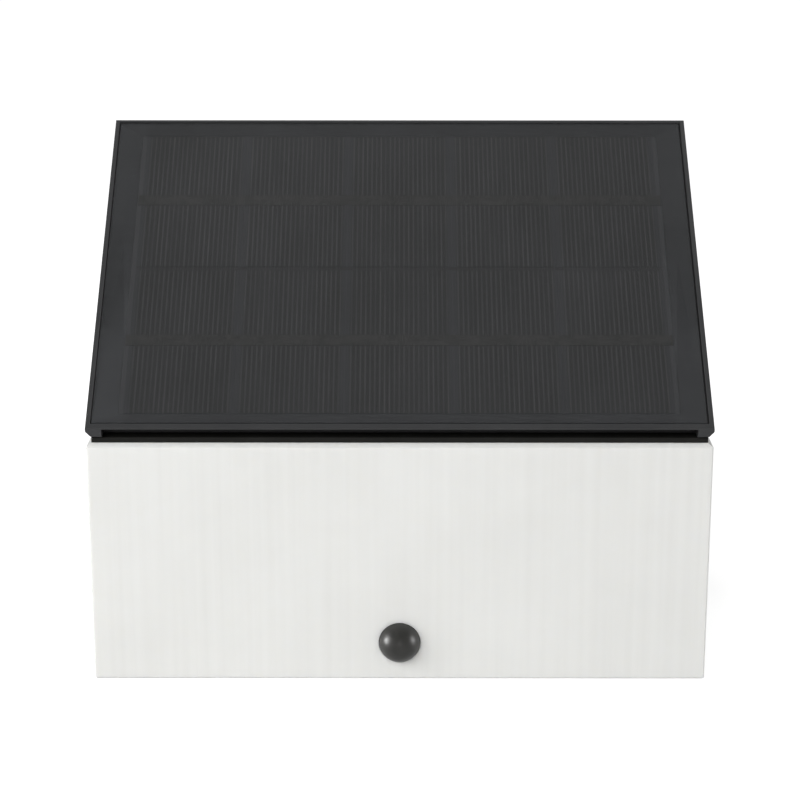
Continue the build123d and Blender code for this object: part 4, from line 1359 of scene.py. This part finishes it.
def makeChips():
    tree = GeometryTree(
        "lampChip",
        [
            ("Package Size", "NodeSocketVector"),
            ("Well Size", "NodeSocketVector"),
            ("Well Middle", "NodeSocketVector"),
            ("Glow Size", "NodeSocketVector"),
            ("Glow Middle", "NodeSocketVector"),
        ],
    )
    given = tree.given
    package = tree.cube(given["Package Size"])
    package = tree.cut(package, tree.cube(given["Well Size"], given["Well Middle"]))
    glow = tree.cube(given["Glow Size"], given["Glow Middle"])
    both = tree.add("GeometryNodeJoinGeometry")
    # each part has its own finish, so Set Material comes before the copies here
    tree.put(both.inputs[0], tree.coated(package, "reflectorWhite"))
    tree.put(both.inputs[0], tree.coated(glow, "ledPhosphor"))
    tree.end(tree.real(tree.copies(given["Geometry"], both.outputs[0])))
    solids = solidsOf("leds")
    size = solids[0][1] - solids[0][0]
    wide, tall = size.x * chipShape["window"], size.z * chipShape["window"]
    deep = size.y * chipShape["rimDepth"]
    thick = size.y * chipShape["phosphor"]
    piece = tree.grow(
        "lampChips",
        {
            "Package Size": size,
            "Well Size": (wide, 2 * deep, tall),
            "Well Middle": (0, -size.y / 2, 0),
            "Glow Size": (wide, thick, tall),
            "Glow Middle": (0, -size.y / 2 + deep + thick / 2 - chipShape["proud"], 0),
        },
        points=[(low + high) / 2 for low, high in solids],
    )
    settle(piece, None, "leds")


makeChips()
print("lamp chips made")


# Studio

studio = {
    "floorReach": 8.0,
    "floorUnder": 0.2 * mm,  # the opal box
    "floorTone": 0.825,
    "floorLift": 0.62,  # added where the camera sees the floor
    "skyFill": 0.44,
    "skyGloss": 0.4,  # in reflections
}


def makeFloor():
    mesh = bpy.data.meshes.new("floor")
    reach = studio["floorReach"]
    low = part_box("diffuser")[0].z - studio["floorUnder"]
    corners = [(-reach, -reach, low), (reach, -reach, low), (reach, reach, low), (-reach, reach, low)]
    mesh.from_pydata(corners, [], [(0, 1, 2, 3)])
    floor = bpy.data.objects.new("floor", mesh)
    scene.collection.objects.link(floor)
    material = bpy.data.materials.new("floorPaper")
    material.use_nodes = True
    tree = Tree(material.node_tree)
    material.node_tree.nodes.clear()
    paper = tree.add("ShaderNodeBsdfDiffuse", {"Color": grey(studio["floorTone"])})
    lift = tree.add("ShaderNodeEmission", {"Color": grey(1.0), "Strength": studio["floorLift"]})
    path = tree.add("ShaderNodeLightPath")
    seen = tree.math("MAXIMUM", path.outputs["Is Camera Ray"], path.outputs["Is Transmission Ray"])
    bright = tree.add("ShaderNodeAddShader")
    tree.put(bright.inputs[0], paper.outputs[0])
    tree.put(bright.inputs[1], lift.outputs[0])
    choice = tree.add("ShaderNodeMixShader", {"Fac": seen})
    tree.put(choice.inputs[1], paper.outputs[0])
    tree.put(choice.inputs[2], bright.outputs[0])
    out = tree.add("ShaderNodeOutputMaterial")
    tree.put(out.inputs["Surface"], choice.outputs[0])
    mesh.materials.append(material)


def makeSky():
    world = bpy.data.worlds.new("studioSky")
    scene.world = world
    world.use_nodes = True
    tree = Tree(world.node_tree)
    world.node_tree.nodes.clear()
    path = tree.add("ShaderNodeLightPath")
    level = tree.blend(path.outputs["Is Glossy Ray"], studio["skyFill"], studio["skyGloss"])
    seen = tree.math("MAXIMUM", path.outputs["Is Camera Ray"], path.outputs["Is Transmission Ray"])
    strength = tree.blend(seen, level, 1.0)
    sky = tree.add("ShaderNodeBackground", {"Color": grey(1.0), "Strength": strength})
    out = tree.add("ShaderNodeOutputWorld")
    tree.put(out.inputs["Surface"], sky.outputs[0])


domeOnly = bpy.data.collections.new("domeOnly")  # all that a lamp with "lights": "dome" reaches
domeOnly.objects.link(sensorDome)

studioLamps = {
    # highlights on the sensor dome alone
    "leftGlint": {"place": (-0.93, -0.13, 0.09), "size": (0.5, 0.42), "power": 20.0, "lights": "dome"},
    "rightGlint": {"place": (0.93, -0.06, 0.13), "size": (0.5, 0.42), "power": 8.5, "lights": "dome"},
    "frontGlint": {"place": (0, -1.9, 0.3), "size": (0.14, 0.14), "power": 1.6, "lights": "dome"},
    # soft light that leaves no reflections
    "leftSoftbox": {"place": (-1.1, -0.6, 0.5), "size": (0.6, 0.8), "power": 5.6, "lights": "matt"},
    "rightSoftbox": {"place": (1.1, -0.5, 0.5), "size": (0.6, 0.8), "power": 0.6, "lights": "matt"},
    "frontFill": {
        "place": (-0.8, -1.6, 1.1),
        "aim": (0, -0.05, 0),
        "size": (1.2, 1.2),
        "power": 17.8,
        "lights": "matt",
    },
    # over the ridge, for a sheen down the panel
    "ridgeSoftbox": {
        "place": (0, 0.32, 0.75),
        "aim": (0, 0, 0.08),
        "size": (0.5, 0.4),
        "power": 0.7,
        "lights": "all",
    },
}


def makeLamp(name, place, size, power, lights, aim=(0, -0.09, 0)):
    data = bpy.data.lights.new(name, "AREA")
    data.shape = "RECTANGLE"
    data.size, data.size_y = size
    data.energy = power
    lamp = bpy.data.objects.new(name, data)
    lamp.location = place
    lamp.rotation_euler = (Vector(aim) - Vector(place)).to_track_quat("-Z", "Y").to_euler()
    lamp.visible_diffuse = lights != "dome"
    lamp.visible_glossy = lights != "matt"
    lamp.visible_camera = False
    if lights == "dome":
        lamp.light_linking.receiver_collection = domeOnly
    scene.collection.objects.link(lamp)


makeFloor()
makeSky()
for name, lamp in studioLamps.items():
    makeLamp(name, **lamp)
scene.view_settings.view_transform = "Standard"
print("studio made")
